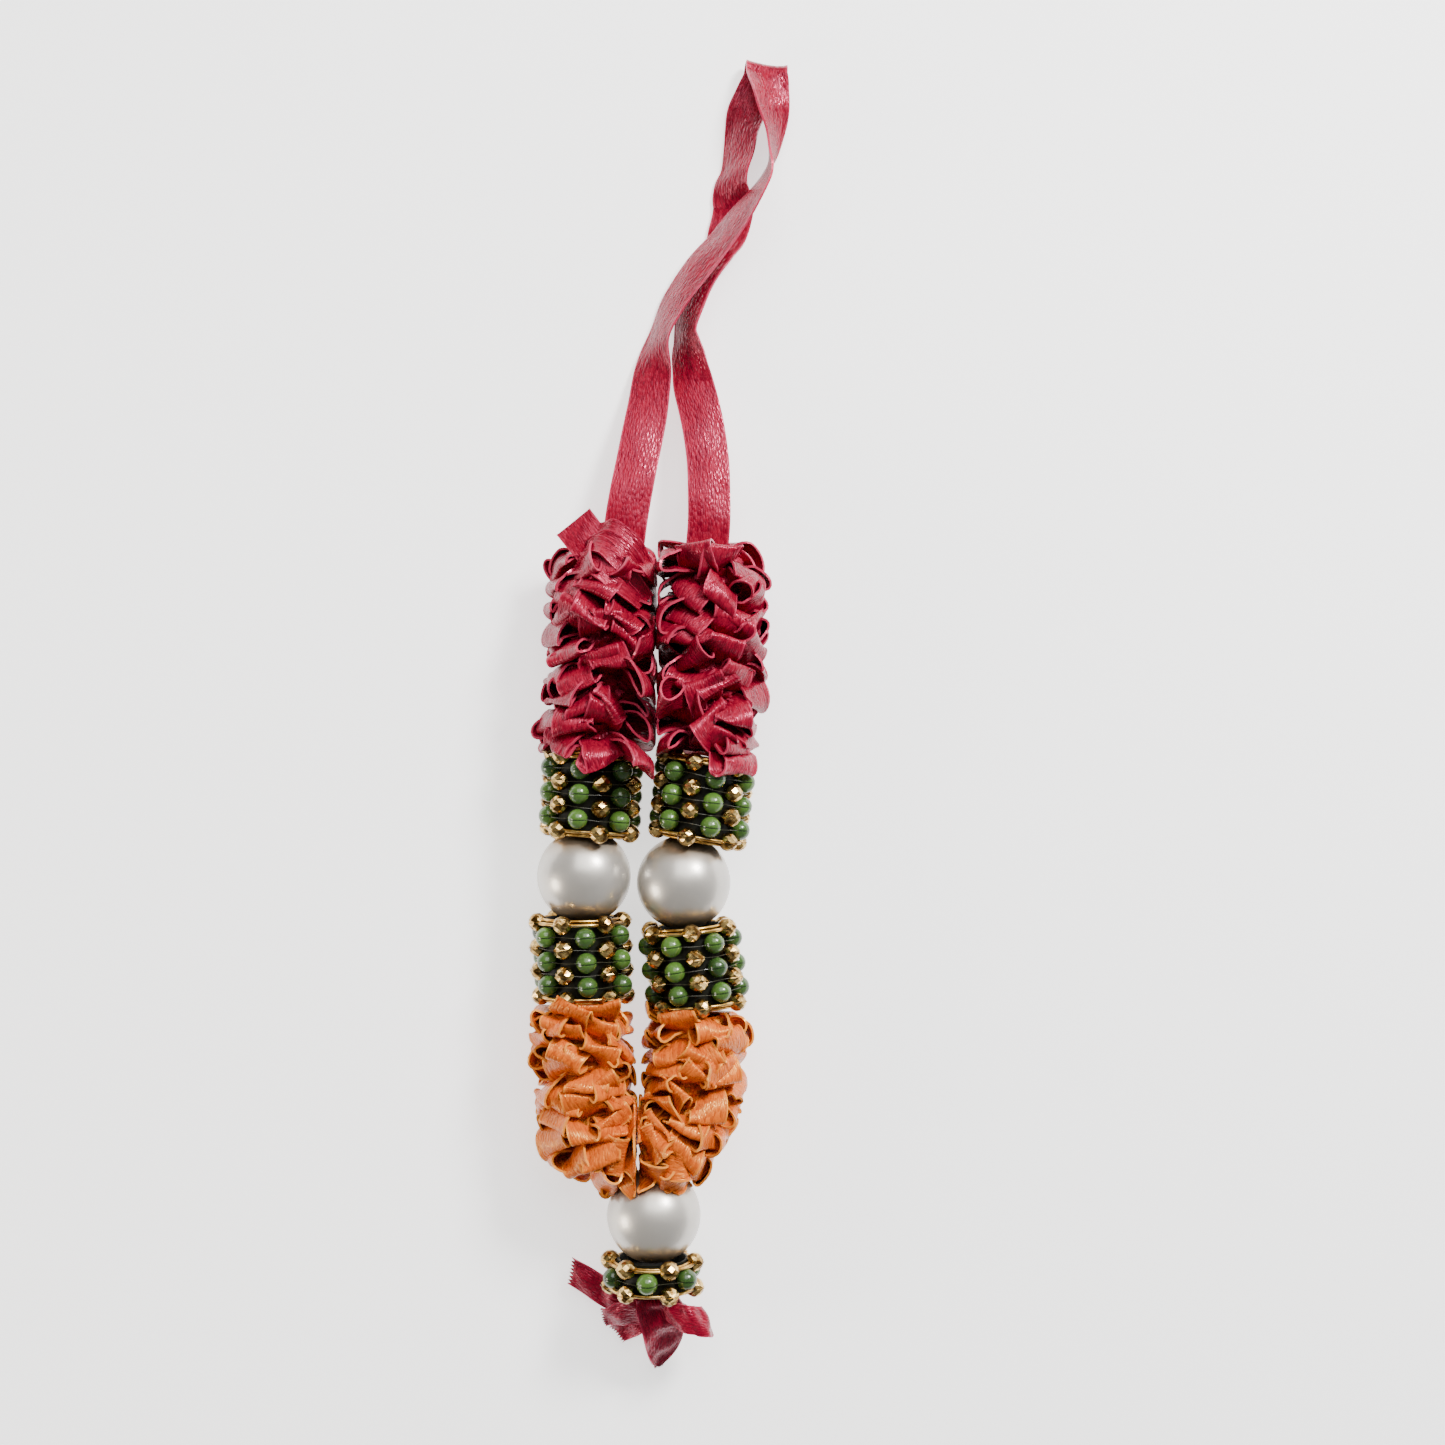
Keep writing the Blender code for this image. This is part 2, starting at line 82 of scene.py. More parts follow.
# Stations along the axis of a ruffle, from its top end down
RED_LEFT = [
    # x, y, radius, tilt
    (-8.2, 25.1, 7.9, 2),
    (-8.5, 17.0, 8.4, 0),
    (-9.0, 6.0, 8.4, -2),
    (-9.98, -4.4, 8.1, -4),
]
RED_RIGHT = [
    (7.45, 24.4, 7.7, -2),
    (7.6, 16.0, 8.2, 0),
    (7.4, 5.0, 8.2, -4),
    (6.87, -5.2, 8.0, -10),
]
ORANGE_LEFT_TOP = (-11.15, -43.5, 7.9, 0)
ORANGE_RIGHT_TOP = (5.5, -44.65, 7.9, 5)
BEND_CENTRE = (-3.4, -57.2)
BEND_RADIUS = 7.6
BEND_REACH = 7.0
BEND_CORE = 1.2
RED_DIVIDE = -0.6
ORANGE_DIVIDE = -3.4

LEG_LEFT = [
    # x, y, bank, lift
    (-5.6, 25.6, 0, 7.25),
    (-5.1, 29.4, 0, 7.4),
    (-4.2, 34.8, 2, 6.6),
    (-3.2, 40.2, 4, 5.0),
    (-2.2, 45.9, 8, 3.2),
    (-1.6, 51.2, 24, 1.2),
    (-1.2, 55.6, 48, 0.2),
    (-0.1, 59.0, 60, 0.1),
    (2.0, 63.1, 48, 0.7),
    (5.4, 67.7, 46, 1.8),
    (8.8, 71.6, 48, 2.4),
    (11.5, 75.0, 56, 3.5),
    (14.4, 78.9, 66, 4.0),
    (15.8, 81.9, 80, 2.4),
    (16.5, 85.0, 100, 1.4),
    (16.8, 88.6, 122, 1.5),
    (16.6, 92.2, 142, 2.3),
    (16.2, 95.3, 162, 2.4),
    (15.9, 97.6, 180, 2.4),
]
LEG_RIGHT = [
    (6.9, 24.9, 0, 7.25),
    (7.2, 29.1, 0, 7.4),
    (7.2, 33.4, 0, 6.8),
    (7.0, 38.2, 0, 5.7),
    (6.4, 42.9, 0, 4.5),
    (5.5, 47.1, 5, 3.2),
    (4.6, 50.7, 18, 1.4),
    (4.0, 53.5, 34, 0.4),
    (3.5, 56.2, 50, 0.1),
    (3.4, 59.0, 58, 0.1),
    (4.9, 64.1, 48, 0.1),
    (7.2, 68.4, 46, 0.1),
    (8.4, 70.4, 38, 0.1),
    (9.6, 72.6, 24, 0.1),
    (10.4, 75.0, 12, 0.1),
    (10.8, 77.3, 14, 0.1),
    (10.4, 79.0, 24, 0.1),
    (10.3, 80.6, 42, 0.1),
    (10.8, 82.6, 48, 0.1),
    (11.5, 85.6, 45, 0.1),
    (12.0, 89.0, 34, 0.1),
    (12.9, 92.2, 22, 0.1),
    (14.3, 95.1, 8, 0.1),
    (15.6, 97.6, 0, 0.05),
]
LEG_BODY = 1.0                  # the ribbon with its cupping fills this thickness
CREASE_HEADING = -6
CREASE_STEPS = 8
CREASE_BLEND = 8

# Ribbon ends and tucks: a row for each station, with the width, and the heading and bank
# of the line across the ribbon
CUT_END = [
    # x, y, z, width, heading, bank
    (-7.6, 20.6, 10.0, 4.6, 22, 0),
    (-9.0, 23.0, 10.9, 5.4, 30, 0),
    (-10.6, 25.6, 11.3, 6.0, 36, 0),
    (-12.9, 28.6, 10.2, 6.3, 38, 4),
]
FAN = [
    [
        (-12.6, 21.5, 11.5, 3.0, 60, -20),
        (-9.6, 22.6, 14.2, 4.6, 62, -16),
        (-5.8, 20.2, 14.6, 4.8, 50, -14),
        (-2.2, 16.6, 12.0, 3.2, 46, -18),
    ],
    [
        (-10.8, 24.6, 12.2, 3.0, 66, -24),
        (-8.2, 25.2, 13.8, 4.2, 64, -22),
        (-5.0, 22.6, 13.9, 4.6, 52, -20),
        (-1.9, 18.4, 11.6, 3.0, 48, -22),
    ],
    [
        (-9.2, 27.0, 11.2, 2.8, 66, -30),
        (-7.0, 27.0, 12.6, 3.6, 62, -26),
        (-4.2, 24.4, 12.8, 4.0, 54, -24),
        (-1.7, 20.4, 10.8, 3.0, 50, -24),
    ],
]

TUFT_STRIPS = [
    [   # tail that lies out to the left
        (-1.6, -87.4, 6.4, 4.4, 80, 20),
        (-3.4, -88.6, 5.6, 4.6, 80, 15),
        (-6.6, -88.2, 4.4, 4.6, 76, 15),
        (-9.6, -86.7, 3.4, 4.4, 72, 10),
        (-13.7, -84.4, 2.6, 4.2, 80, 10),
    ],
    [   # upper small fold on the left
        (-0.6, -87.2, 8.6, 4.4, 92, 20),
        (-2.5, -88.8, 8.4, 4.6, 96, 20),
        (-5.8, -89.4, 7.8, 4.2, 100, 26),
        (-8.6, -90.5, 5.8, 3.2, 104, 26),
    ],
    [   # lower small fold on the left
        (-0.4, -87.2, 5.4, 4.4, -50, 10),
        (-1.6, -88.8, 5.2, 4.6, -48, 10),
        (-4.4, -91.6, 4.4, 4.2, -45, 12),
        (-6.6, -93.6, 2.9, 3.0, -42, 12),
    ],
    [   # pointed end in the middle
        (-0.8, -86.6, 9.0, 5.6, 4, 0),
        (-0.6, -88.2, 8.8, 6.0, 6, 0),
        (0.3, -91.6, 7.6, 6.3, 12, -8),
        (0.2, -95.4, 5.2, 4.8, 16, -10),
        (-0.5, -98.2, 3.4, 1.2, 20, -10),
    ],
    [   # loop that rolls out to the right
        (0.2, -87.4, 8.6, 3.8, -78, 0),
        (1.6, -88.8, 9.8, 4.2, -76, 0),
        (4.6, -89.4, 10.9, 4.6, -74, 0),
        (6.9, -90.0, 9.2, 4.8, -70, 0),
        (6.6, -90.6, 6.4, 4.6, -66, 0),
        (3.6, -90.8, 5.0, 4.2, -64, 0),
        (1.2, -89.6, 5.0, 4.0, -62, 0),
    ],
    [   # inner turn of the rolled loop
        (3.4, -89.2, 9.2, 4.0, -74, 0),
        (5.2, -89.8, 9.0, 4.2, -72, 0),
        (5.6, -90.2, 7.4, 4.2, -70, 0),
        (3.4, -90.4, 6.4, 4.0, -68, 0),
    ],
    [   # fold that fills the mouth of the tube on the right
        (-0.2, -86.8, 6.0, 4.0, 20, 10),
        (1.4, -89.6, 4.6, 4.6, 30, 16),
        (2.0, -92.4, 2.8, 3.6, 36, 14),
    ],
]

# Camera: straight above, at the distance and place that the photograph was taken from
CAMERA_PLACE = (0.0094, -0.00145, 0.310)
CAMERA_LENS = 50.5
SENSOR = 36.0


def linear(hex_colour):
    """Linear RGBA of an sRGB colour written as #RRGGBB."""
    values = [int(hex_colour[at:at + 2], 16) / 255 for at in (1, 3, 5)]
    lit = [v / 12.92 if v <= 0.04045 else ((v + 0.055) / 1.055) ** 2.4 for v in values]
    return (*lit, 1.0)


def add(tree, kind, inputs=None, **settings):
    """Adds a node with its settings, and sets or links its inputs."""
    made = tree.nodes.new(kind)
    for name, value in settings.items():
        setattr(made, name, value)
    for key, value in (inputs or {}).items():
        if isinstance(value, bpy.types.NodeSocket):
            tree.links.new(value, made.inputs[key])
        else:
            made.inputs[key].default_value = value
    return made


def new_material(name):
    """An empty node material and its tree."""
    made = bpy.data.materials.new(name)
    made.use_nodes = True
    made.node_tree.nodes.clear()
    return made, made.node_tree


def finish_with(tree, inputs):
    """Ends a material with one Principled shader."""
    shader = add(tree, "ShaderNodeBsdfPrincipled", inputs)
    add(tree, "ShaderNodeOutputMaterial", {"Surface": shader.outputs["BSDF"]})
    return shader


def woven_satin_ribbon(name, shade, body, edge_highlight, glint):
    """Polyester satin ribbon, woven: glossy warp floats run along it, side by side and
    staggered, and spark one by one where the ribbon turns over. Their ends show as fine
    darker breaks. The selvedge is a fuller cord of yarn, painted with a highlight colour."""
    made, tree = new_material(name)
    weave = add(tree, "ShaderNodeAttribute", attribute_name="weave")
    split = add(tree, "ShaderNodeSeparateXYZ", {0: weave.outputs["Vector"]})
    along, across, tag = split.outputs[0], split.outputs[1], split.outputs[2]

    floats_along = add(tree, "ShaderNodeMath", {0: along, 1: 1 / FLOAT_LENGTH},
                       operation="MULTIPLY")
    yarns = add(tree, "ShaderNodeMath", {0: across, 1: 1 / YARN_WIDTH}, operation="MULTIPLY")
    place = add(tree, "ShaderNodeCombineXYZ",
                {0: floats_along.outputs[0], 1: yarns.outputs[0], 2: tag})
    floats = add(tree, "ShaderNodeTexVoronoi",
                 {"Vector": place.outputs[0], "Scale": 1.0, "Randomness": 0.85})
    chance = add(tree, "ShaderNodeSeparateColor", {0: floats.outputs["Color"]})

    cloudy = add(tree, "ShaderNodeTexNoise",
                 {"Vector": place.outputs[0], "Scale": 0.13, "Detail": 2.0})
    tone = add(tree, "ShaderNodeMath", {0: cloudy.outputs["Fac"], 1: chance.outputs[0]},
               operation="ADD")
    tone_share = add(tree, "ShaderNodeMapRange",
                     {"Value": tone.outputs[0], "From Min": 0.35, "From Max": 1.35})
    base = add(tree, "ShaderNodeMix",
               {0: tone_share.outputs[0], 6: linear(shade), 7: linear(body)},
               data_type="RGBA")

    # Painted highlight: near both edges the colour is mixed towards the edge highlight colour, for
    # the glint along the selvedge.
    edge_distance = add(tree, "ShaderNodeMath", {0: across}, operation="ABSOLUTE")
    edge = add(tree, "ShaderNodeMapRange",
               {"Value": edge_distance.outputs[0], "From Min": RIBBON_WIDTH / 2 - EDGE_HIGHLIGHT_FROM,
                "From Max": RIBBON_WIDTH / 2 - EDGE_HIGHLIGHT_FULL, "To Max": 0.55})
    colour = add(tree, "ShaderNodeMix",
                 {0: edge.outputs[0], 6: base.outputs[2], 7: linear(edge_highlight)},
                 data_type="RGBA")

    rough = add(tree, "ShaderNodeMapRange",
                {"Value": chance.outputs[1], "To Min": 0.16, "To Max": 0.42})
    yarn_height = add(tree, "ShaderNodeMath", {0: floats.outputs["Distance"], 1: -1.0},
                      operation="MULTIPLY")
    bump = add(tree, "ShaderNodeBump",
               {"Height": yarn_height.outputs[0], "Strength": 0.8, "Distance": 0.11 * MM})
    finish_with(tree, {
        "Base Color": colour.outputs[2],
        "Roughness": rough.outputs[0],
        "Normal": bump.outputs[0],
        "Specular IOR Level": 0.8,
        "Specular Tint": linear(glint),
    })
    return made


def moulded_jade_bead():
    """Opaque polystyrene, injection moulded and tumbled: a wet gloss over a slightly
    cloudy green, a little darker where the mould's halves meet."""
    made, tree = new_material("moulded_jade_green_bead")
    tint = add(tree, "ShaderNodeAttribute", attribute_name="tint")
    split = add(tree, "ShaderNodeSeparateXYZ", {0: tint.outputs["Vector"]})
    place = add(tree, "ShaderNodeTexCoord")
    cloud = add(tree, "ShaderNodeTexNoise",
                {"Vector": place.outputs["Object"], "Scale": 500.0, "Detail": 3.0})
    mixed = add(tree, "ShaderNodeMath", {0: split.outputs[0], 1: cloud.outputs["Fac"]},
                operation="ADD")
    share = add(tree, "ShaderNodeMapRange",
                {"Value": mixed.outputs[0], "From Min": 0.3, "From Max": 1.4})
    green = add(tree, "ShaderNodeMix",
                {0: share.outputs[0], 6: linear("#21381A"), 7: linear("#4B6C2A")},
                data_type="RGBA")
    seam = add(tree, "ShaderNodeMix",
               {0: split.outputs[1], 6: green.outputs[2], 7: linear("#0F1E0C")},
               data_type="RGBA")
    bump = add(tree, "ShaderNodeBump",
               {"Height": cloud.outputs["Fac"], "Strength": 0.12, "Distance": 0.1 * MM})
    finish_with(tree, {
        "Base Color": seam.outputs[2],
        "Normal": bump.outputs[0],
        "Roughness": 0.22,
        "IOR": 1.5,
        "Coat Weight": 0.15,
        "Coat Roughness": 0.06,
        "Subsurface Weight": 0.12,
        "Subsurface Radius": (0.6, 1.0, 0.4),
        "Subsurface Scale": 0.5 * MM,
    })
    return made


def vacuum_plated_bead(name, pale, deep, roughness):
    """Faceted plastic with a vacuum-plated brassy film: sharp small mirrors, in random
    patches of a paler and a deeper tone. The faceted bead's deep tone is painted reflection,
    the dark that its facets mirror."""
    made, tree = new_material(name)
    place = add(tree, "ShaderNodeTexCoord")
    patch = add(tree, "ShaderNodeTexNoise",
                {"Vector": place.outputs["Object"], "Scale": 900.0, "Detail": 4.0})
    share = add(tree, "ShaderNodeMapRange",
                {"Value": patch.outputs["Fac"], "From Min": 0.38, "From Max": 0.62})
    colour = add(tree, "ShaderNodeMix",
                 {0: share.outputs[0], 6: linear(deep), 7: linear(pale)}, data_type="RGBA")
    rough = add(tree, "ShaderNodeMapRange",
                {"Value": patch.outputs["Fac"], "To Min": roughness + 0.22,
                 "To Max": roughness})
    bump = add(tree, "ShaderNodeBump",
               {"Height": patch.outputs["Fac"], "Strength": 0.25, "Distance": 0.08 * MM})
    finish_with(tree, {
        "Base Color": colour.outputs[2],
        "Roughness": rough.outputs[0],
        "Normal": bump.outputs[0],
        "Metallic": 1.0,
    })
    return made


def pearl_coated_ball():
    """ABS ball dipped in pearl lacquer: a satin mirror under a clear coat, grey and cream
    in soft clouds. Towards the thread holes a warm brown is painted in as the reflection
    of the gold beads."""
    made, tree = new_material("pearl_coated_ABS_ball")
    tint = add(tree, "ShaderNodeAttribute", attribute_name="tint")
    split = add(tree, "ShaderNodeSeparateXYZ", {0: tint.outputs["Vector"]})
    place = add(tree, "ShaderNodeTexCoord")
    cloud = add(tree, "ShaderNodeTexNoise",
                {"Vector": place.outputs["Object"], "Scale": 130.0, "Detail": 4.0,
                 "Distortion": 0.4})
    lacquer = add(tree, "ShaderNodeMix",
                  {0: cloud.outputs["Fac"], 6: linear("#A8A39C"), 7: linear("#D8D2C8")},
                  data_type="RGBA")
    # Painted reflection: towards the poles the colour turns to the brown that the gold beads
    # reflect there.
    painted_gold_reflection = add(tree, "ShaderNodeMapRange",
                 {"Value": split.outputs[0], "From Min": 0.45, "From Max": 0.95,
                  "To Max": 0.95})
    colour = add(tree, "ShaderNodeMix",
                 {0: painted_gold_reflection.outputs[0], 6: lacquer.outputs[2], 7: linear("#9A7436")},
                 data_type="RGBA")
    grain = add(tree, "ShaderNodeTexNoise",
                {"Vector": place.outputs["Object"], "Scale": 1400.0, "Detail": 3.0})
    rough = add(tree, "ShaderNodeMapRange",
                {"Value": cloud.outputs["Fac"], "To Min": 0.26, "To Max": 0.42})
    bump = add(tree, "ShaderNodeBump",
               {"Height": grain.outputs["Fac"], "Strength": 0.08, "Distance": 0.05 * MM})
    finish_with(tree, {
        "Base Color": colour.outputs[2],
        "Roughness": rough.outputs[0],
        "Normal": bump.outputs[0],
        "Metallic": 0.6,
        "IOR": 1.53,
        "Coat Weight": 0.5,
        "Coat Roughness": 0.12,
        "Coat IOR": 1.5,
    })
    return made


def dark_core():
    """Dark moulded sleeve that the beads are tied round: dull, dusty, almost black. The near-black
    is partly its own colour and partly painted shade, for the shadow between the beads.
    """
    made, tree = new_material("dark_moulded_sleeve")
    place = add(tree, "ShaderNodeTexCoord")
    dust = add(tree, "ShaderNodeTexNoise",
               {"Vector": place.outputs["Object"], "Scale": 700.0, "Detail": 4.0})
    colour = add(tree, "ShaderNodeMix",
                 {0: dust.outputs["Fac"], 6: linear("#050503"), 7: linear("#14150A")},
                 data_type="RGBA")
    bump = add(tree, "ShaderNodeBump",
               {"Height": dust.outputs["Fac"], "Strength": 0.3, "Distance": 0.15 * MM})
    finish_with(tree, {"Base Color": colour.outputs[2], "Roughness": 0.55,
                       "Normal": bump.outputs[0], "Specular IOR Level": 0.15})
    return made


def drawn_nylon_thread(name, colour_hex, roughness):
    """Nylon monofilament, drawn: a thin dark line with a wet glint."""
    made, tree = new_material(name)
    place = add(tree, "ShaderNodeTexCoord")
    uneven = add(tree, "ShaderNodeTexNoise",
                 {"Vector": place.outputs["Object"], "Scale": 600.0, "Detail": 2.0})
    pale = linear(colour_hex)
    deep = tuple(0.55 * value for value in pale[:3]) + (1.0,)
    colour = add(tree, "ShaderNodeMix",
                 {0: uneven.outputs["Fac"], 6: deep, 7: pale}, data_type="RGBA")
    finish_with(tree, {"Base Color": colour.outputs[2], "Roughness": roughness,
                       "Specular IOR Level": 0.6})
    return made


def painted_table():
    """Matt white painted board under the garland."""
    made, tree = new_material("white_painted_board")
    place = add(tree, "ShaderNodeTexCoord")
    mottle = add(tree, "ShaderNodeTexNoise",
                 {"Vector": place.outputs["Object"], "Scale": 12.0, "Detail": 2.0})
    colour = add(tree, "ShaderNodeMix",
                 {0: mottle.outputs["Fac"], 6: linear("#F6F5F4"), 7: linear("#FBFAFA")},
                 data_type="RGBA")
    finish_with(tree, {"Base Color": colour.outputs[2], "Roughness": 0.75,
                       "Emission Color": linear("#FFFFFF"), "Emission Strength": 1.3})
    return made


# The third colour of each ribbon is the painted highlight along its edges.
RED = woven_satin_ribbon("woven_satin_ribbon_red", "#5E0519", "#8A0E28", "#C43C5A", "#FF7A98")
ORANGE = woven_satin_ribbon("woven_satin_ribbon_orange", "#A8400F", "#D4641C", "#F0A040",
                            "#FFD070")
GREEN_BEAD = moulded_jade_bead()
# The deep colour of the faceted bead is a painted dark reflection of its facets.
GOLD_BEAD = vacuum_plated_bead("vacuum_plated_faceted_bead", "#E6C27A", "#5E3E16", 0.12)
GOLD_WIRE = vacuum_plated_bead("gilt_brass_wire", "#E8BE6C", "#A87830", 0.22)
PEARL = pearl_coated_ball()
CORE = dark_core()
CLEAR_THREAD = drawn_nylon_thread("clear_nylon_monofilament", "#4C4A38", 0.15)


def spline(rows, share):
    """A Catmull-Rom value of every column, with share running from 0 to 1."""
    place = share * (len(rows) - 1)
    index = min(int(place), len(rows) - 2)
    t = place - index
    before = rows[max(index - 1, 0)]
    start = rows[index]
    end = rows[index + 1]
    after = rows[min(index + 2, len(rows) - 1)]
    return [
        0.5 * (2 * b + (c - a) * t + (2 * a - 5 * b + 4 * c - d) * t**2
               + (3 * b - 3 * c + d - a) * t**3)
        for a, b, c, d in zip(before, start, end, after)
    ]


def smoothstep(low, high, value):
    """0 below low, 1 above high, and a soft rise between them."""
    share = np.clip((value - low) / (high - low), 0.0, 1.0)
    return share * share * (3.0 - 2.0 * share)


def plan_vector(angle):
    """The unit vector at an angle in degrees from +X in the plane of the table."""
    turn = math.radians(angle)
    return np.array((math.cos(turn), math.sin(turn), 0.0))


def unit(vectors):
    """Vectors of length one along the last axis."""
    return vectors / np.maximum(np.linalg.norm(vectors, axis=-1, keepdims=True), 1e-9)


UP = np.array((0.0, 0.0, 1.0))


def join(parts):
    """One (points, faces, attribute) of several."""
    points, faces, attributes = [], [], []
    start = 0
    for part_points, part_faces, part_attribute in parts:
        points.append(part_points)
        attributes.append(part_attribute)
        faces += [tuple(start + corner for corner in face) for face in part_faces]
        start += len(part_points)
    return np.concatenate(points), faces, np.concatenate(attributes)


def add_piece(name, part, material, nodes=(), attribute="weave", smooth=60):
    """A mesh object from points in layout millimetres, riding on the garland."""
    points, faces, values = part
    mesh = bpy.data.meshes.new(name)
    mesh.from_pydata(((points + LAYOUT_SHIFT) * MM).tolist(), [], faces)
    layer = mesh.attributes.new(attribute, "FLOAT_VECTOR", "POINT")
    layer.data.foreach_set("vector", np.asarray(values, np.float32).ravel())
    mesh.materials.append(material)
    if smooth:
        mesh.shade_smooth()
        mesh.set_sharp_from_angle(angle=math.radians(smooth))
    made = bpy.data.objects.new(name, mesh)
    bpy.context.scene.collection.objects.link(made)
    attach(made, "root")
    if nodes:
        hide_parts(*nodes)
    return made


# Ribbon sheets

ACROSS = np.array((-1.0, -0.94, -0.84, -0.5, 0.0, 0.5, 0.84, 0.94, 1.0))
EDGE_FROM = 0.9


def thin_sheet(middle, weave, across=ACROSS):
    """Both faces and the rim of a ribbon, from a grid of points on its middle surface."""
    run = np.gradient(middle, axis=0)
    side = np.gradient(middle, axis=1)
    normal = unit(np.cross(side, run))
    fuller = np.abs(across) > EDGE_FROM
    half = np.where(fuller, SELVEDGE_THICKNESS, RIBBON_THICKNESS)[None, :, None] / 2
    front = (middle + normal * half).reshape(-1, 3)
    back = (middle - normal * half).reshape(-1, 3)
    rows, columns = middle.shape[:2]
    size = rows * columns
    faces = []
    for i in range(rows - 1):
        for j in range(columns - 1):
            a = i * columns + j
            b = a + columns
            faces.append((a, a + 1, b + 1, b))
            faces.append((size + b, size + b + 1, size + a + 1, size + a))
    rim = list(range(columns))
    rim += [i * columns + columns - 1 for i in range(1, rows)]
    rim += [(rows - 1) * columns + j for j in range(columns - 2, -1, -1)]
    rim += [i * columns for i in range(rows - 2, 0, -1)]
    for a, b in zip(rim, rim[1:] + rim[:1]):
        faces.append((b, a, size + a, size + b))
    values = weave.reshape(-1, 3)
    return np.concatenate((front, back)), faces, np.concatenate((values, values))


def weave_grid(middle, across, width, start, tag):
    """Millimetres along and across the ribbon at each point of a grid, and its tag."""
    centre = middle[:, middle.shape[1] // 2]
    steps = np.linalg.norm(np.diff(centre, axis=0), axis=1)
    along = start + np.concatenate(((0.0,), np.cumsum(steps)))
    grid = np.zeros(middle.shape)
    grid[..., 0] = along[:, None]
    grid[..., 1] = (across * width / 2)[None, :]
    grid[..., 2] = tag
    return grid


def keep_above(points, low=0.15, soft=1.5):
    """Presses a sheet down on the table, softly, without crossing its layers."""
    height = points[..., 2]
    depth = np.maximum(soft - height, 0.0)
    room = soft - low
    points[..., 2] = np.where(height < soft, soft - room * (1 - np.exp(-depth / room)), height)


def keep_beside(points, divide, side, low=0.12, soft=1.3):
    """Presses a sheet against the plane x = divide, on its own side of it."""
    away = side * (points[..., 0] - divide)
    depth = np.maximum(soft - away, 0.0)
    room = soft - low
    pressed = soft - room * (1 - np.exp(-depth / room))
    points[..., 0] = np.where(away < soft, divide + side * pressed, points[..., 0])


def keep_out_of_ball(points, centre, radius):
    """Lifts a sheet off a pearl that it drapes over."""
    away = points - centre
    distance = np.linalg.norm(away, axis=-1, keepdims=True)
    pushed = centre + away / np.maximum(distance, 1e-6) * radius
    points[...] = np.where(distance < radius, pushed, points)


def keep_out_of_tube(points, tube, gap=0.15):
    """Lets a sheet stop at the end of a bead tube, or lie on its outside."""
    _, x, y, _, axis_tilt, _, gold_rows = tube
    along = plan_vector(axis_tilt + 90)
    middle = np.array((x, y, AXIS_HEIGHT))
    half_length = ((gold_rows - 1) * ROW_PITCH) / 2 + BEAD_RADIUS + gap
    outer = BEAD_RING_RADIUS + BEAD_RADIUS + gap
    away = points - middle
    at = away @ along
    spoke = away - at[..., None] * along
    reach = np.linalg.norm(spoke, axis=-1)
    past_end = half_length - np.abs(at)
    past_side = outer - reach
    inside = (past_end > 0) & (past_side > 0)
    to_end = inside & (past_end <= past_side)
    to_side = inside & (past_end > past_side)
    shift = np.where(to_end, past_end * np.sign(at), 0.0)[..., None] * along
    shift = shift + np.where(to_side, past_side, 0.0)[..., None] * unit(spoke)
    points += shift


# Gathered ruffles

LOOP_STEPS = 26
LOOP_CORE = 1.2                 # loops start this far from the thread
LOOP_PINCH = 0.42               # share of the width left where the thread gathers it


def ribbon_loop(centre, radial, tangent, axial, loop):
    """Middle surface of one loop of the gathered ribbon.

    The ribbon leaves the thread, turns over at the loop's tip and comes back. Its width
    lies along the tangent. The loop can be skewed, swayed, leaned, cupped and rippled.
    """
    u = np.linspace(-1.0, 1.0, LOOP_STEPS + 1)[:, None]
    v = ACROSS[None, :]
    span = loop["reach"] - LOOP_CORE
    out = LOOP_CORE + span * np.cos(math.pi * u / 2)
    rise = loop["height"] / 2 * np.sin(math.pi * u)
    d_out = -span * math.pi / 2 * np.sin(math.pi * u / 2)
    d_rise = loop["height"] / 2 * math.pi * np.cos(math.pi * u)
    length = np.hypot(d_out, d_rise)
    n_out = d_rise / length
    n_rise = -d_out / length
    full = np.clip((out - LOOP_CORE) / span, 0.0, 1.0)
    spread = LOOP_PINCH + (1 - LOOP_PINCH) * smoothstep(0.0, 0.75, full)
    half = loop["width"] / 2 * spread * v
    gather = np.sqrt(np.maximum(1 - spread**2, 0.0)) * loop["width"] / 2
    lift = gather * (0.5 - np.abs(v)) * loop["gather"]
    lift = lift + loop["cup"] * (v**2 - 0.35) * full
    lift = lift + loop["ripple"] * full * np.sin(2.4 * math.pi * u + loop["ripple_at"]) \
        * np.sin(2.6 * v + loop["ripple_across"])
    skew = loop["skew"] * u + loop["turn"] * full
    raised = lift + half * np.sin(skew)
    sway = loop["sway"] * full * np.sin(math.pi * u / 2) + loop["bend"] * full**2
    droop = loop["lean"] * full**2.5
    sunk = 0.16 * np.abs(droop) * full
    return (centre
            + radial * (out - sunk + n_out * raised)[..., None]
            + axial * (rise + droop + n_rise * raised)[..., None]
            + tangent * (half * np.cos(skew) + sway)[..., None])


def even_stations(stations, count):
    """Station values at count + 1 places that lie evenly along a ruffle's axis."""
    fine = 400
    values = np.array([spline(stations, i / fine) for i in range(fine + 1)])
    steps = np.linalg.norm(np.diff(values[:, :2], axis=0), axis=1)
    travelled = np.concatenate(((0.0,), np.cumsum(steps)))
    wanted = np.linspace(0.0, travelled[-1], count + 1)
    return np.array([np.interp(wanted, travelled, column) for column in values.T]).T, travelled[-1]


PRESS_FROM = 0.6                # a loop turned inwards this much presses on its neighbour
PRESS_OVER = 0.9                # and reaches this far past the line between them
BEND_NARROWS = 0.6              # loops lie flatter inside the bend
BEND_FLATTEST = 0.35
BEND_OPENS = 0.55               # and fan out round the outside of it


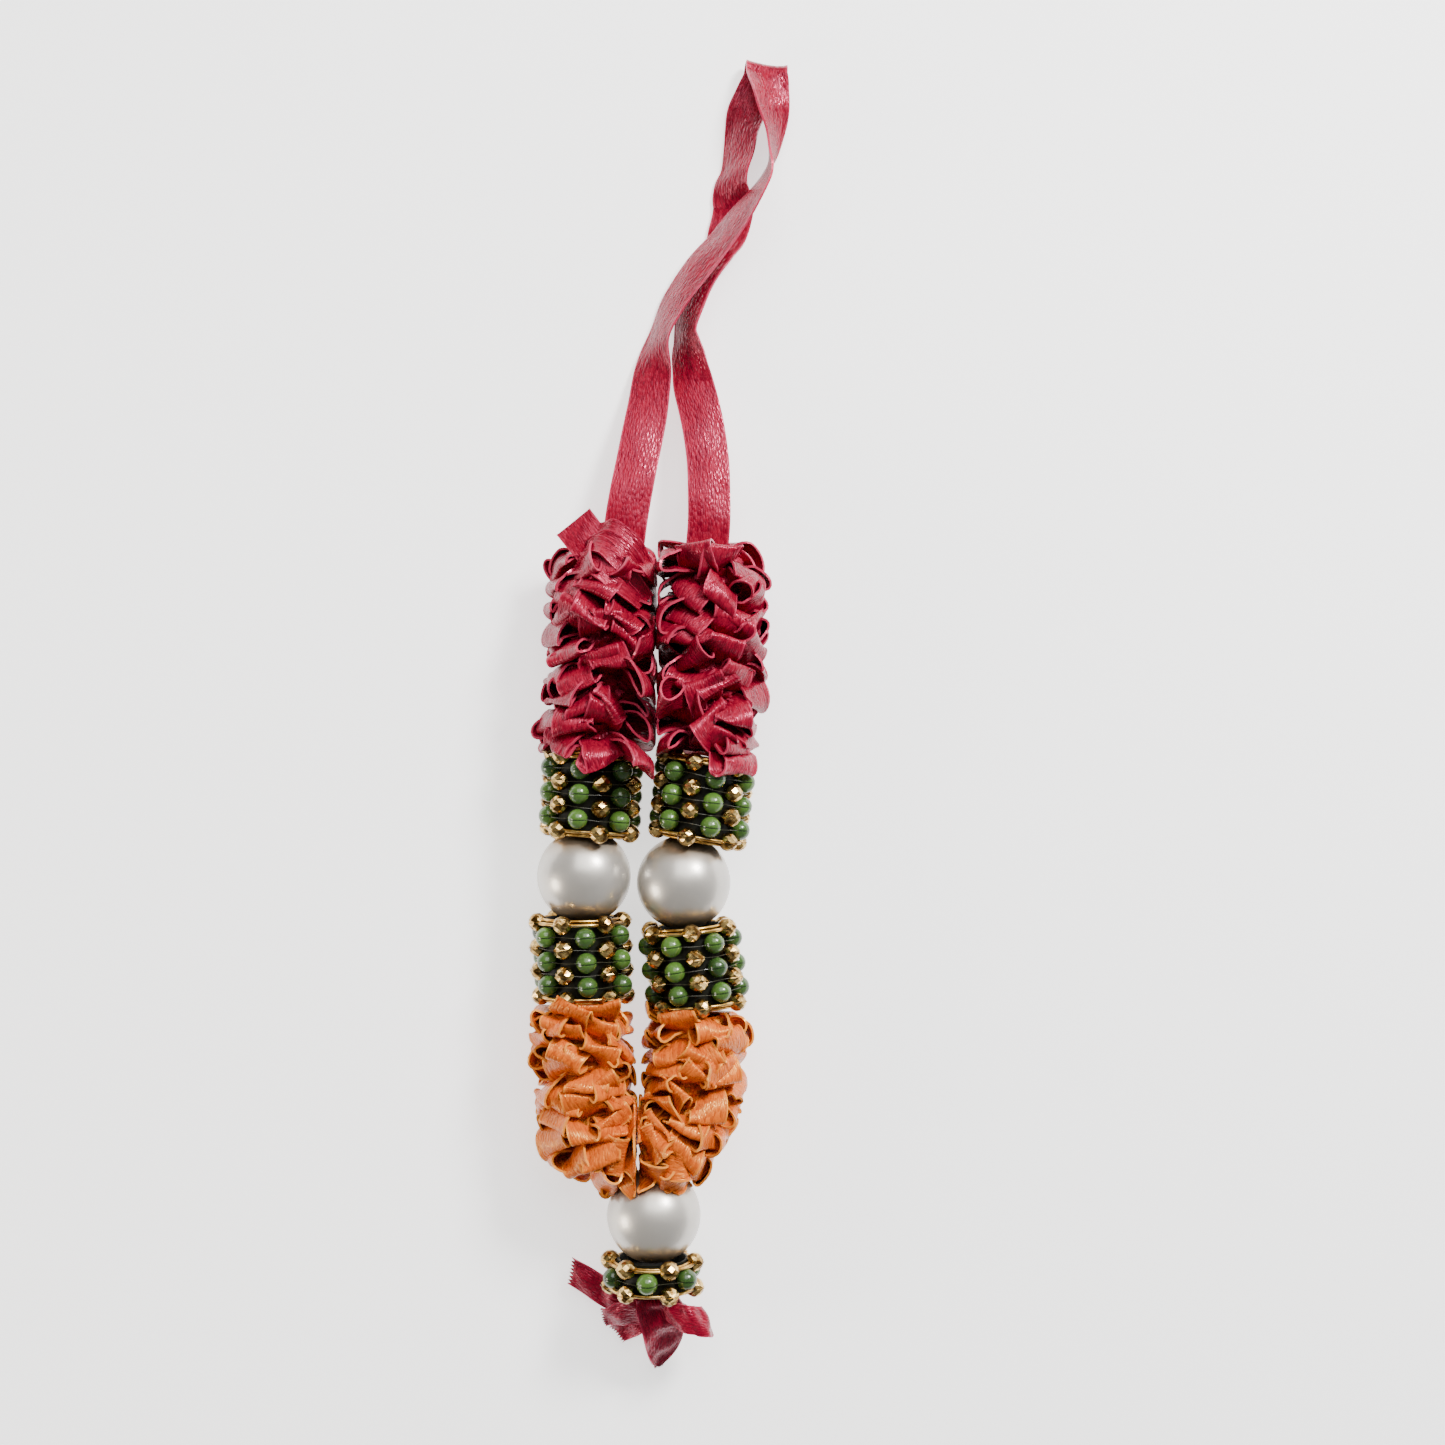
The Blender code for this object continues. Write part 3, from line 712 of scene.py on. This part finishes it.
def fitted_loop(place, tilt, inwards, divide, bend, reach, height):
    """Reach and height of a loop beside its neighbour, or in the bend of its ruffle."""
    if not bend:
        if inwards > PRESS_FROM:
            reach = max(reach, (abs(place[0] - divide) + PRESS_OVER) / inwards)
    elif inwards > 0:
        gap = math.dist(place, BEND_CENTRE) if abs(tilt) > 1 else BEND_RADIUS
        limit = min(BEND_REACH, gap - BEND_CORE)
        if inwards > 0.5:
            reach = min(reach, limit / inwards)
        height *= max(1 - BEND_NARROWS * inwards * reach / BEND_RADIUS, BEND_FLATTEST)
    elif abs(tilt) > 1:
        height *= 1 - BEND_OPENS * inwards
    return reach, height


def drawn_loop(draw, style, reach, height):
    """The form of one loop, drawn at random within its style. Some loops are twisted."""
    twisted = draw.random() < style["twisted"]
    return {
        "reach": reach,
        "height": height,
        "width": RIBBON_WIDTH * draw.uniform(0.9, 1.0),
        "gather": draw.choice((-1, 1)) * 0.8,
        "cup": draw.uniform(-0.7, 0.25) * style["cup"],
        "ripple": draw.uniform(0.1, 0.4),
        "ripple_at": draw.uniform(0, 2 * math.pi),
        "ripple_across": draw.uniform(0, 2 * math.pi),
        "skew": draw.choice((-1, 1)) * draw.uniform(0.7, 1.2) if twisted
        else draw.uniform(-0.6, 0.6),
        "turn": draw.uniform(-0.35, 0.35),
        "sway": draw.uniform(-1.2, 1.2) * (1.8 if twisted else 1.0),
        "bend": draw.uniform(-0.8, 0.8),
        "lean": draw.choice((-1, 1, 1)) * draw.uniform(0.4, 1.0) * style["lean"],
    }


def gathered_ruffle(stations, seed, style, divide, side, bend=False, tube=None, pearl=None):
    """All the loops of one ruffle as joined thin sheets."""
    draw = random.Random(seed)
    fine = 300
    values, total = even_stations(stations, fine)
    count = round(total / style["pitch"] * style["per_turn"])
    angle = draw.uniform(0, 360)
    parts = []
    along_ribbon = 0.0
    for index in range(count):
        share = (index + 0.5 + draw.uniform(-0.35, 0.35)) / count
        x, y, radius, tilt = values[round(min(max(share, 0.0), 1.0) * fine)]
        across = plan_vector(tilt)
        down = plan_vector(tilt - 90)
        angle += 360 / style["per_turn"] + draw.uniform(-1, 1) * style["angle_jitter"]
        turn = math.radians(angle)
        radial = across * math.sin(turn) + UP * math.cos(turn)
        tangent = across * math.cos(turn) - UP * math.sin(turn)
        facing = max(math.cos(turn), 0.0)
        roll = math.radians(draw.gauss(0, style["roll"]) * (0.35 + 0.65 * facing))
        flat = tangent * math.cos(roll) + down * math.sin(roll)
        upright = -tangent * math.sin(roll) + down * math.cos(roll)
        reach = radius * draw.uniform(0.90, 1.04)
        height = draw.uniform(*style["height"])
        reach, height = fitted_loop((x, y), tilt, -side * math.sin(turn), divide, bend,
                                    reach, height)
        loop = drawn_loop(draw, style, reach, height)
        middle = ribbon_loop(np.array((x, y, AXIS_HEIGHT)), radial, flat, upright, loop)
        if tube:
            keep_out_of_tube(middle, tube)
        if pearl:
            keep_out_of_ball(middle, np.array((pearl[1], pearl[2], AXIS_HEIGHT)),
                             PEARL_RADIUS + 0.2)
        keep_above(middle)
        keep_beside(middle, divide, side)
        weave = weave_grid(middle, ACROSS, RIBBON_WIDTH, along_ribbon, index * 1.7)
        along_ribbon += 2 * reach
        parts.append(thin_sheet(middle, weave))
    parts.append(gathered_core(values, seed, divide, side))
    return parts


CORE_SIDES = 30
CORE_RINGS = 60
CORE_RADIUS = 4.4               # the pressed folds round the thread


def gathered_core(values, seed, divide, side):
    """The pressed inner folds round the thread, as one wavy sleeve inside the loops."""
    points, weave = [], []
    for ring in range(CORE_RINGS + 1):
        x, y, _, tilt = values[round(ring / CORE_RINGS * (len(values) - 1))]
        across = plan_vector(tilt)
        for step in range(CORE_SIDES):
            turn = 2 * math.pi * step / CORE_SIDES
            spoke = across * math.sin(turn) + UP * math.cos(turn)
            reach = CORE_RADIUS + 0.5 * math.sin(5 * turn + 1.7 * ring + seed)
            reach += 0.3 * math.sin(9 * turn - 2.3 * ring)
            points.append(np.array((x, y, AXIS_HEIGHT)) + spoke * reach)
            weave.append((ring * 0.55, step * 0.9, seed))
    points += [np.array((*values[at][:2], AXIS_HEIGHT)) for at in (0, -1)]
    weave += [(0.0, 0.0, seed)] * 2
    points = np.array(points)
    keep_beside(points, divide, side)
    return points, closed_rings(CORE_RINGS + 1, CORE_SIDES), np.array(weave)


RED_STYLE = {
    "pitch": 3.3, "per_turn": 9.2, "angle_jitter": 10, "roll": 20, "height": (1.5, 3.2),
    "cup": 1.0, "twisted": 0.3, "lean": 3.2,
}
ORANGE_STYLE = {
    "pitch": 2.7, "per_turn": 8.8, "angle_jitter": 12, "roll": 22, "height": (1.2, 2.7),
    "cup": 0.9, "twisted": 0.4, "lean": 2.8,
}


def orange_stations(top, side, radius):
    """Stations of an orange ruffle: straight down, then a quarter turn inwards."""
    centre_x, centre_y = BEND_CENTRE
    bend_x = centre_x + side * BEND_RADIUS
    stations = [top, ((top[0] + bend_x) / 2, (top[1] + centre_y) / 2, radius, top[3] / 3)]
    for turned in (0, 30, 60, 90):
        angle = math.radians(turned)
        stations.append((
            centre_x + side * BEND_RADIUS * math.cos(angle),
            centre_y - BEND_RADIUS * math.sin(angle),
            radius,
            -side * turned,
        ))
    return stations


# Flat ribbons

def sheet_through(sections, cup, tag, across=ACROSS, ripple=0.0, pinked=0.0):
    """Thin ribbon through sections of (centre, vector across, width), cupped across.

    A pinked end is cut to a zigzag of that depth.
    """
    centres = np.array([section[0] for section in sections])
    sides = unit(np.array([section[1] for section in sections]))
    widths = np.array([section[2] for section in sections])
    runs = unit(np.gradient(centres, axis=0))
    normals = unit(np.cross(sides, runs))
    v = across[None, :]
    steps = np.arange(len(sections))[:, None]
    lift = -cup * v**2 + ripple * np.sin(0.55 * steps + tag) * np.sin(2.2 * v + tag)
    middle = (centres[:, None] + sides[:, None] * (widths[:, None] / 2 * v)[..., None]
              + normals[:, None] * lift[..., None])
    if pinked:
        teeth = np.where(np.arange(len(across)) % 2 == 0, 1.0, -1.0)
        middle[-1] += runs[-1] * (pinked / 2 * teeth)[:, None]
    weave = weave_grid(middle, across, RIBBON_WIDTH, 0.0, tag)
    return middle, weave


def table_sections(rows, steps):
    """Sections of a ribbon end from its short table, with steps for each row."""
    sections = []
    count = (len(rows) - 1) * steps
    for index in range(count + 1):
        x, y, z, width, heading, bank = spline(rows, index / count)
        tipped = math.radians(bank)
        side = plan_vector(heading) * math.cos(tipped) + UP * math.sin(tipped)
        sections.append((np.array((x, y, z)), side, width))
    return sections


def leg_sections(rows, steps=6):
    """Sections of one leg of the hanging ribbon, from its ruffle to the crease."""
    rest = []
    for x, y, bank, lift in rows:
        tipped = math.radians(bank)
        clear = RIBBON_WIDTH / 2 * abs(math.sin(tipped))
        clear += LEG_BODY / 2 * abs(math.cos(tipped))
        rest.append((x, y, clear + lift, bank))
    count = (len(rest) - 1) * steps
    places = [spline(rest, i / count) for i in range(count + 1)]
    sections = []
    for index, (x, y, z, bank) in enumerate(places):
        before = places[max(index - 1, 0)]
        after = places[min(index + 1, count)]
        heading = math.degrees(math.atan2(after[1] - before[1], after[0] - before[0])) - 90
        near = float(smoothstep(count - CREASE_BLEND * steps / 2, count, index))
        heading += (CREASE_HEADING - heading) * near
        tipped = math.radians(bank)
        side = plan_vector(heading) * math.cos(tipped) + UP * math.sin(tipped)
        sections.append((np.array((x, y, z)), side, RIBBON_WIDTH))
    return sections


def hanging_ribbon():
    """One ribbon up the left leg, over the crease and down the right leg."""
    left = leg_sections(LEG_LEFT)
    right = leg_sections(LEG_RIGHT)
    top = left[-1][0]
    bottom = right[-1][0]
    middle = (top + bottom) / 2
    radius = np.linalg.norm(top - bottom) / 2
    out = plan_vector(CREASE_HEADING + 90)
    side = left[-1][1]
    crease = []
    for step in range(1, CREASE_STEPS):
        angle = math.pi * step / CREASE_STEPS
        place = middle + out * radius * math.sin(angle) + (top - middle) * math.cos(angle)
        crease.append((place, side, RIBBON_WIDTH))
    back = [(place, -across, width) for place, across, width in reversed(right)]
    middle_grid, weave = sheet_through(left + crease + back, 0.3, 3.0, ripple=0.12)
    keep_above(middle_grid, soft=0.6)
    return thin_sheet(middle_grid, weave)


# Beads

def ball(centre, axis, radius, rings, segments, tint, seam=False):
    """A smooth ball with its poles on axis, and a moulding seam round its middle."""
    axis = unit(np.array(axis, float))
    helper = UP if abs(axis[2]) < 0.9 else np.array((1.0, 0.0, 0.0))
    first = unit(np.cross(axis, helper))
    second = np.cross(axis, first)
    latitudes = list(np.linspace(-90, 90, rings + 1)[1:-1])
    if seam:
        latitudes = sorted([lat for lat in latitudes if abs(lat) > 6] + [-4.5, -1.5, 1.5, 4.5])
    points, values = [], []
    for latitude in latitudes:
        lat = math.radians(latitude)
        groove = 0.03 * math.exp(-(latitude / 2.2) ** 2) if seam else 0.0
        reach = radius * (1 - groove)
        for segment in range(segments):
            turn = 2 * math.pi * segment / segments
            spoke = first * math.cos(turn) + second * math.sin(turn)
            points.append(centre + (spoke * math.cos(lat) + axis * math.sin(lat)) * reach)
            values.append((tint, min(groove / 0.02, 1.0), 0.0))
    points += [centre - axis * radius, centre + axis * radius]
    values += [(tint, 0.0, 0.0)] * 2
    return np.array(points), closed_rings(len(latitudes), segments), np.array(values)


def closed_rings(rings, sides):
    """Quads between rings of points, with a fan on the first and the last ring."""
    faces = []
    for ring in range(rings - 1):
        for side in range(sides):
            after = (side + 1) % sides
            low = ring * sides
            faces.append((low + side, low + after, low + sides + after, low + sides + side))
    first = rings * sides
    last = (rings - 1) * sides
    for side in range(sides):
        after = (side + 1) % sides
        faces.append((first, after, side))
        faces.append((first + 1, last + side, last + after))
    return faces


GOLD_SIDES = 8
GOLD_PROFILE = [
    # height over the middle and reach, as shares of the bead's radius, and the turn of
    # the ring in sides
    (-0.92, 0.34, 0.0),
    (-0.68, 0.72, 0.5),
    (-0.34, 0.94, 0.0),
    (-0.07, 0.99, 0.5),
    (-0.05, 1.08, 0.5),
    (0.05, 1.08, 0.5),
    (0.07, 0.99, 0.5),
    (0.34, 0.94, 0.0),
    (0.68, 0.72, 0.5),
    (0.92, 0.34, 0.0),
]


def faceted_bead(centre, axis, radius, turn, draw):
    """A bead with staggered flat facets and a thin flange where its mould closed."""
    axis = unit(np.array(axis, float))
    helper = UP if abs(axis[2]) < 0.9 else np.array((1.0, 0.0, 0.0))
    first = unit(np.cross(axis, helper))
    second = np.cross(axis, first)
    points = []
    for height, reach, shift in GOLD_PROFILE:
        for side in range(GOLD_SIDES):
            angle = turn + 2 * math.pi * (side + shift) / GOLD_SIDES
            uneven = 1 + draw.uniform(-0.035, 0.035)
            spoke = first * math.cos(angle) + second * math.sin(angle)
            points.append(centre + (spoke * reach * uneven + axis * height) * radius)
    faces = []
    for ring in range(len(GOLD_PROFILE) - 1):
        same = GOLD_PROFILE[ring][2] == GOLD_PROFILE[ring + 1][2]
        ahead = GOLD_PROFILE[ring][2] < GOLD_PROFILE[ring + 1][2]
        low = ring * GOLD_SIDES
        high = low + GOLD_SIDES
        for side in range(GOLD_SIDES):
            after = (side + 1) % GOLD_SIDES
            if same:
                faces.append((low + side, low + after, high + after, high + side))
            elif ahead:
                faces.append((low + side, low + after, high + side))
                faces.append((low + after, high + after, high + side))
            else:
                faces.append((low + side, high + after, high + side))
                faces.append((low + side, low + after, high + after))
    low_end = len(points)
    points += [centre - axis * radius * 0.95, centre + axis * radius * 0.95]
    last = (len(GOLD_PROFILE) - 1) * GOLD_SIDES
    for side in range(GOLD_SIDES):
        after = (side + 1) % GOLD_SIDES
        faces.append((low_end, after, side))
        faces.append((low_end + 1, last + side, last + after))
    return np.array(points), faces, np.zeros((len(points), 3))


def round_tube(path, radius, sides, closed=False):
    """A thin round thread or wire along a path of points."""
    path = np.array(path, float)
    count = len(path)
    if closed:
        runs = unit(np.roll(path, -1, axis=0) - np.roll(path, 1, axis=0))
    else:
        runs = unit(np.gradient(path, axis=0))
    points = []
    side = None
    for place, run in zip(path, runs):
        if side is None:
            helper = UP if abs(run[2]) < 0.9 else np.array((1.0, 0.0, 0.0))
            side = np.cross(run, helper)
        side = unit(side - run * np.dot(side, run))
        other = np.cross(run, side)
        for step in range(sides):
            turn = 2 * math.pi * step / sides
            points.append(place + (side * math.cos(turn) + other * math.sin(turn)) * radius)
    if closed:
        faces = []
        for ring in range(count):
            low = ring * sides
            high = (ring + 1) % count * sides
            for step in range(sides):
                after = (step + 1) % sides
                faces.append((low + step, low + after, high + after, high + step))
    else:
        faces = closed_rings(count, sides)
        points += [path[0], path[-1]]
    return np.array(points), faces, np.zeros((len(points), 3))


GREEN_RINGS = 14
GREEN_SEGMENTS = 22
THREAD_RADIUS = 0.035
WIRE_RADIUS = 0.28
INNER_WIRE_RADIUS = 0.22
SLEEVE_SIDES = 48


def bead_tube(name, x, y, row_tilt, axis_tilt, first_gold, gold_rows):
    """Beads in staggered columns round a dark sleeve, with a wire ring at each end."""
    draw = random.Random(name)
    across = plan_vector(row_tilt)
    along = plan_vector(axis_tilt + 90)
    middle = np.array((x, y, AXIS_HEIGHT))
    half_pitch = ROW_PITCH / 2
    rows = 2 * gold_rows - 1
    green, gold, wires, threads = [], [], [], []

    def ring_path(at, reach, steps, wobble=0.0):
        """Points of a ring round the tube, at a height along it."""
        path = []
        for step in range(steps):
            turn = 2 * math.pi * step / steps
            spoke = across * math.sin(turn) + UP * math.cos(turn)
            path.append(middle + along * (at + wobble * math.sin(5 * turn + at))
                        + spoke * (reach + wobble * math.cos(4 * turn)))
        return path

    for row in range(rows):
        at = (rows - 1) / 2 * half_pitch - row * half_pitch
        for column in range(row % 2, BEAD_COLUMNS, 2):
            turn = math.radians(first_gold + 360 * column / BEAD_COLUMNS)
            spoke = across * math.sin(turn) + UP * math.cos(turn)
            nudge = draw.uniform(-0.12, 0.12)
            place = middle + along * (at + nudge) + spoke * BEAD_RING_RADIUS
            if row % 2 == 0:
                gold.append(faceted_bead(place, along + spoke * draw.uniform(-0.15, 0.15),
                                         BEAD_RADIUS * draw.uniform(0.94, 1.0),
                                         draw.uniform(0, 1), draw))
            else:
                green.append(ball(place, along + spoke * draw.uniform(-0.1, 0.1),
                                  BEAD_RADIUS * draw.uniform(0.99, 1.05),
                                  GREEN_RINGS, GREEN_SEGMENTS, draw.uniform(0, 1),
                                  seam=True))
        threads.append(round_tube(ring_path(at, BEAD_RING_RADIUS + 0.35, 60, 0.1),
                                  THREAD_RADIUS, 5, closed=True))
    end = (rows - 1) / 2 * half_pitch
    for at in (end, -end):
        wires.append(round_tube(ring_path(at, BEAD_RING_RADIUS, 72), WIRE_RADIUS, 8,
                                closed=True))
        wires.append(round_tube(ring_path(at * 1.1, BEAD_RING_RADIUS - 0.55, 72),
                                INNER_WIRE_RADIUS, 8, closed=True))

    outer = BEAD_RING_RADIUS - 1.0
    half = end + BEAD_RADIUS - 0.9
    profile = [(half - 1.6, 4.6), (half - 0.5, 4.8), (half, 5.0), (half, outer),
               (0.0, outer), (-half, outer), (-half, 5.0), (-half + 0.5, 4.8),
               (-half + 1.6, 4.6)]
    points = []
    for at, reach in profile:
        points += ring_path(at, reach, SLEEVE_SIDES)
    points += [middle + along * (half - 1.7), middle - along * (half - 1.7)]
    sleeve = (np.array(points), closed_rings(len(profile), SLEEVE_SIDES),
              np.zeros((len(points), 3)))

    short = name.replace("bead_tube_", "")
    add_piece(f"sleeve_{short}", sleeve, CORE, [name], "tint", 40)
    add_piece(f"green_beads_{short}", join(green), GREEN_BEAD, (), "tint", 60)
    add_piece(f"gold_beads_{short}", join(gold), GOLD_BEAD, (), "tint", 0)
    add_piece(f"end_wires_{short}", join(wires), GOLD_WIRE, (), "tint", 60)
    add_piece(f"row_threads_{short}", join(threads), CLEAR_THREAD, (), "tint", 60)


PEARL_SEGMENTS = 96
PEARL_RINGS = 60
THREAD_HOLE_RADIUS = 0.495
THREAD_HOLE_FROM = 0.90         # the hole's floor, as a share of the pearl's radius


def pearl(name, x, y):
    """A pearl-coated ball with a thread hole at each pole."""
    centre = np.array((x, y, AXIS_HEIGHT))
    along = np.array((0.0, 1.0, 0.0))
    first = np.array((1.0, 0.0, 0.0))
    latitudes = np.linspace(-85.5, 85.5, PEARL_RINGS)
    profile = [(-THREAD_HOLE_FROM * PEARL_RADIUS, THREAD_HOLE_RADIUS)]
    profile += [(PEARL_RADIUS * math.sin(math.radians(lat)),
                 PEARL_RADIUS * math.cos(math.radians(lat))) for lat in latitudes]
    profile += [(THREAD_HOLE_FROM * PEARL_RADIUS, THREAD_HOLE_RADIUS)]
    points, values = [], []
    for at, reach in profile:
        for segment in range(PEARL_SEGMENTS):
            turn = 2 * math.pi * segment / PEARL_SEGMENTS
            spoke = first * math.cos(turn) - UP * math.sin(turn)
            points.append(centre + along * at + spoke * reach)
            # x is the distance from the middle towards a pole, which places the painted gold
            # reflection.
            values.append((abs(at) / PEARL_RADIUS, 0.0, 0.0))
    points += [centre - along * PEARL_RADIUS * 0.88, centre + along * PEARL_RADIUS * 0.88]
    values += [(1.0, 0.0, 0.0)] * 2
    part = (np.array(points), closed_rings(len(profile), PEARL_SEGMENTS), np.array(values))
    add_piece(f"{name}_ball", part, PEARL, [name], "tint", 50)


# Pieces

add_piece("ribbon_hanging", hanging_ribbon(), RED, ["hanging_ribbon"])

red_left_parts = gathered_ruffle(RED_LEFT, 3, RED_STYLE, RED_DIVIDE, -1, tube=TUBES[0])
cut_middle, cut_weave = sheet_through(table_sections(CUT_END, 10), 0.25, 5.0, ripple=0.2)
red_left_parts.append(thin_sheet(cut_middle, cut_weave))
for number, rows in enumerate(FAN):
    fan_middle, fan_weave = sheet_through(table_sections(rows, 10), 0.4, 7.0 + number,
                                          ripple=0.15)
    red_left_parts.append(thin_sheet(fan_middle, fan_weave))
add_piece("ruffle_red_left_folds", join(red_left_parts), RED,
          ["ruffle_red_left"])

red_right_parts = gathered_ruffle(RED_RIGHT, 8, RED_STYLE, RED_DIVIDE, 1, tube=TUBES[1])
add_piece("ruffle_red_right_folds", join(red_right_parts), RED,
          ["ruffle_red_right"])

for name, top, seed, side, tube in (
    ("ruffle_orange_left", ORANGE_LEFT_TOP, 5, -1, TUBES[2]),
    ("ruffle_orange_right", ORANGE_RIGHT_TOP, 12, 1, TUBES[3]),
):
    parts = gathered_ruffle(orange_stations(top, side, 7.9), seed, ORANGE_STYLE,
                            ORANGE_DIVIDE, side, bend=True, tube=tube, pearl=PEARLS[2])
    add_piece(f"{name}_folds", join(parts), ORANGE, [name])

for row in TUBES:
    bead_tube(*row)

for row in PEARLS:
    pearl(*row)

PINK_ACROSS = np.linspace(-1, 1, 15)
tuft_parts = []
for number, rows in enumerate(TUFT_STRIPS):
    tuft_middle, tuft_weave = sheet_through(table_sections(rows, 10), 0.3, 11.0 + number,
                                            across=PINK_ACROSS, ripple=0.25, pinked=0.7)
    keep_above(tuft_middle)
    tuft_parts.append(thin_sheet(tuft_middle, tuft_weave, PINK_ACROSS))
add_piece("ribbon_tuft_folds", join(tuft_parts), RED, ["ribbon_tuft"])

# Table, light and camera

table_mesh = bpy.data.meshes.new("table_top")
TABLE_HALF = 1.5
table_mesh.from_pydata([(-TABLE_HALF, -TABLE_HALF, 0), (TABLE_HALF, -TABLE_HALF, 0),
                        (TABLE_HALF, TABLE_HALF, 0), (-TABLE_HALF, TABLE_HALF, 0)],
                       [], [(0, 1, 2, 3)])
table_mesh.materials.append(painted_table())
table_top = bpy.data.objects.new("table_top", table_mesh)
bpy.context.scene.collection.objects.link(table_top)

LIGHTS = [
    # name, place, size, power in watts, colour
    ("window_light", (0.32, 0.36, 0.38), 0.14, 7.0, "#FFFFFF"),
    ("side_lamp", (-0.48, -0.16, 0.15), 0.16, 1.6, "#FFF3E2"),
    ("soft_panel", (0.05, 0.60, 0.75), 0.70, 7.0, "#FFFFFF"),
]
for name, place, size, power, tint in LIGHTS:
    data = bpy.data.lights.new(name, "AREA")
    data.size = size
    data.energy = power
    data.color = linear(tint)[:3]
    lamp = bpy.data.objects.new(name, data)
    lamp.location = place
    lamp.rotation_euler = (Vector((0, 0, 0)) - Vector(place)).to_track_quat("-Z", "Y").to_euler()
    bpy.context.scene.collection.objects.link(lamp)

world = bpy.data.worlds.new("soft_room")
bpy.context.scene.world = world
world.use_nodes = True
sky = world.node_tree.nodes["Background"]
direction = add(world.node_tree, "ShaderNodeTexCoord")
height = add(world.node_tree, "ShaderNodeSeparateXYZ", {0: direction.outputs["Generated"]})
glow = add(world.node_tree, "ShaderNodeMapRange",
           {"Value": height.outputs[2], "From Min": 0.15, "From Max": 0.95,
            "To Min": 0.55, "To Max": 0.10})
world.node_tree.links.new(glow.outputs[0], sky.inputs["Strength"])
sky.inputs["Color"].default_value = linear("#F4F5F8")

camera_data = bpy.data.cameras.new("camera_above")
camera_data.lens = CAMERA_LENS
camera_data.sensor_width = SENSOR
camera_data.clip_start = 0.01
camera = bpy.data.objects.new("camera_above", camera_data)
camera.location = CAMERA_PLACE
bpy.context.scene.collection.objects.link(camera)
bpy.context.scene.camera = camera
